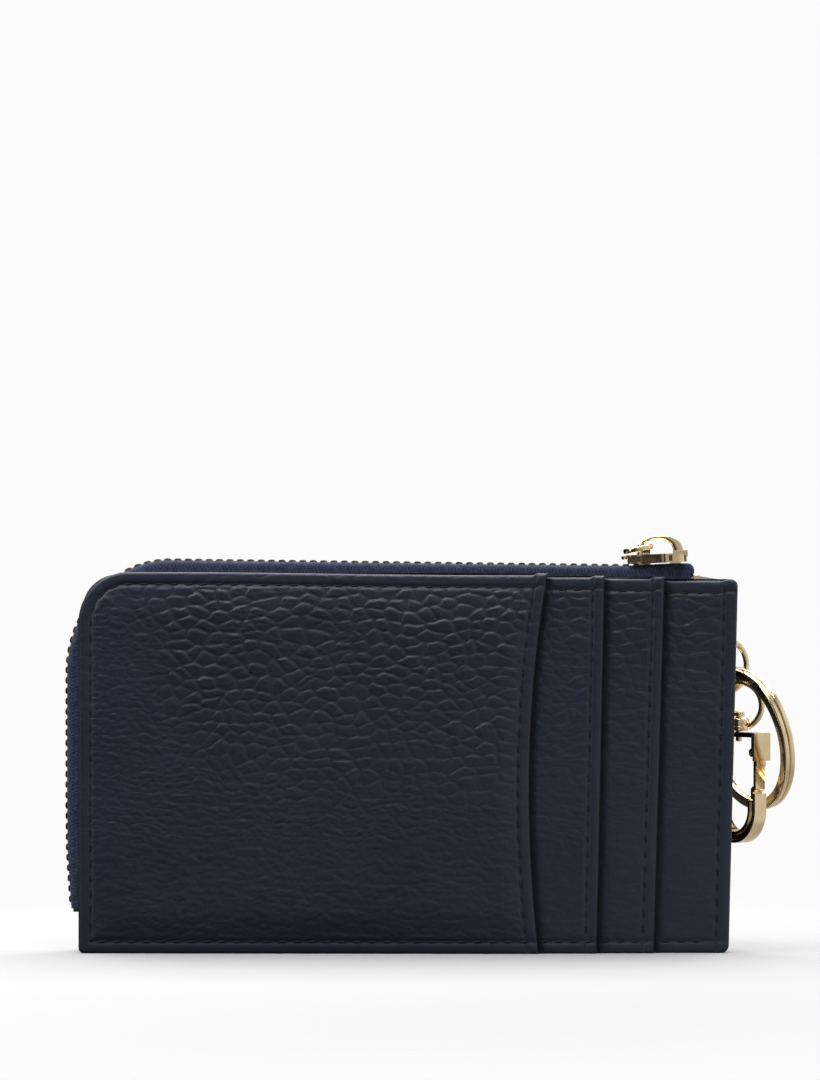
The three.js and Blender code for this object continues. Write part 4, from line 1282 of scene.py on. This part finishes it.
def gate():
    low = node_box("hook_gate")[0][2]
    thick = 2.4
    inner, outer = HALF - 0.85, HALF - 0.1
    clear = KNUCKLE + 0.3
    lip_x = HALF - LIP_WIDE - 0.3
    shoulder = LIP + 0.3
    blade = [(lip_x - 0.7, low), (lip_x, low), (lip_x, shoulder), (outer, shoulder + 0.6)]
    blade += [(outer, PIVOT_Z - 1), (inner, PIVOT_Z - 1), (inner, shoulder + 1.3)]
    blade.append((lip_x - 0.7, shoulder + 0.7))
    scoop = disc(clear, -thick, thick, PIVOT, 48)
    lowered = cut_solid(prism(blade, -thick / 2, thick / 2), [scoop])
    tongue = disc(KNUCKLE - 0.1, -0.55, -0.05, PIVOT, 40)
    stalk = block((PIVOT_X + 0.1, PIVOT_X + 1.3), (PIVOT_Z - clear - 1, PIVOT_Z), (-0.55, -0.05))
    thumb = block((HALF - 0.02, HALF + 0.5), (LIP + 6.6, HOOK_TOP), (-2.15, 2.15))
    web = block((HALF - 0.6, HALF + 0.2), (PIVOT_Z - clear - 1.6, PIVOT_Z - clear), (-1.2, 1.2))
    hole = disc(PIVOT_BORE, -thick, thick, PIVOT, 28)
    mesh = worked(lowered, [tongue, stalk, thumb, web], [hole], bevel=0.3, moved=HOOK.matrix())
    show(mesh, "hook_gate_metal", "gate", GOLD, "hook_gate")


def spring():
    turns, radius, wire, pitch = 2.5, 0.62, 0.07, 0.15
    part = np.linspace(0, 1, 90)
    turn = circle(TAU * turns * part)
    path = np.column_stack([radius * turn + PIVOT, 0.1 + pitch * turns * part])
    piece("gate_spring_wire", "hook", STEEL, HOOK.wire(path, turn, round_section(wire, 10)), "gate_spring")


swivel()
hook()
gate()
spring()

# ---- floor, light and camera

AIM = Vector((0, 0, 0.04))
FLOOR_RADIUS = 0.9


def grey(level):
    return level, level, level, 1


def floor():
    """A pale floor that fades out round the object, so that the backdrop has no horizon."""
    mesh = bpy.data.meshes.new("floor")
    rim = [(x, y, 0) for x, y in round_section(FLOOR_RADIUS, 64)]
    mesh.from_pydata(rim, [], [list(range(64))])
    made = Finish("floor_pale", Roughness=0.9, Specular_IOR_Level=0.1)
    shifted = made.mapped((1.5, 1, 1), (0, 0.045, 0))
    distance = made.add("VectorMath", {0: shifted}, "Value", operation="LENGTH")
    rightward = made.spread(made.add("SeparateXYZ", {0: made.place}), 0.0, 0.08, 0.03, 0.9)
    path = made.add("LightPath").node.outputs
    shade = made.blend(rightward, grey(0), grey(0.55))
    shade = made.blend(path["Is Camera Ray"], shade, (0.585, 0.585, 0.59, 1))
    shade = made.blend(path["Is Diffuse Ray"], shade, grey(0.24))
    mesh.materials.append(made.feed(Base_Color=shade, Alpha=made.spread(distance, 0.08, 0.25, 1, 0)))
    in_scene("floor", mesh)


def softbox(name, place, width, height, power):
    light = bpy.data.lights.new(name, "AREA")
    light.shape = "RECTANGLE"
    light.size, light.size_y = width, height
    light.energy = power
    item = in_scene(name, light)
    item.location = place
    item.rotation_euler = (AIM - Vector(place)).to_track_quat("-Z", "Y").to_euler()


def surroundings():
    """White to the camera. For light and reflections: bright above and right, dark behind on the left."""
    world = bpy.data.worlds.new("studio")
    bpy.context.scene.world = world
    sky = Nodes(world)
    direction = sky.add("TexCoord", output="Generated")
    path = sky.add("LightPath").node.outputs

    def facing(towards, low, high, dim, bright):
        towards = Vector(towards).normalized()
        dot = sky.add("VectorMath", {0: direction, 1: towards}, "Value", operation="DOT_PRODUCT")
        return sky.spread(dot, low, high, dim, bright, interpolation_type="SMOOTHSTEP")

    above = facing((0, 0.1, 1), 0.1, 0.8, 0.05, 0.5)
    right = facing((1, -0.35, 0.1), 0.55, 0.92, 0.0, 0.85)
    behind = facing((0.6, 1, 0.1), 0.3, 0.8, 0.0, 0.5)
    dark = facing((-0.83, 0.55, -0.12), 0.5, 0.85, 1.0, 0.02)
    card = facing((0.2, -1, 0.15), 0.92, 0.985, 0.0, 0.6)
    total = sky.maths("ADD", sky.maths("ADD", above, right), behind)
    total = sky.maths("ADD", sky.maths("MULTIPLY", total, dark), card)
    total = sky.maths("MULTIPLY", total, sky.spread(path["Is Diffuse Ray"], 0, 1, 1.0, 0.3))
    lit = sky.add("Background", {"Strength": total})
    seen = sky.add("Background", {"Color": grey(0.965)})
    sky.add("OutputWorld", {"Surface": sky.add("MixShader", {"Fac": path["Is Camera Ray"], 1: lit, 2: seen})})


def camera():
    """A level camera, higher than the object, so that upright edges stay parallel."""
    lens = bpy.data.cameras.new("camera")
    lens.sensor_fit = "HORIZONTAL"
    lens.sensor_width = 36
    lens.lens = 264.2
    lens.clip_start = 0.01
    item = in_scene("camera", lens)
    azimuth, distance = math.radians(1.2), 1.2
    item.location = (distance * math.sin(azimuth) + 0.0004, -distance * math.cos(azimuth) - 0.005, 0.0825)
    item.rotation_euler = (math.pi / 2, 0, azimuth)
    bpy.context.scene.camera = item


floor()
surroundings()
softbox("key_light", (-0.42, -0.22, 0.40), 0.22, 0.22, 1.0)
softbox("left_strip", (-0.50, -0.30, 0.10), 0.08, 0.35, 0.22)
softbox("front_strip", (-0.10, -0.22, 0.60), 0.6, 0.08, 1.9)
softbox("top_light", (0.0, 0.2, 0.55), 0.8, 0.5, 5.3)
camera()
bpy.context.scene.view_settings.view_transform = "Standard"
bpy.context.scene.view_settings.look = "None"
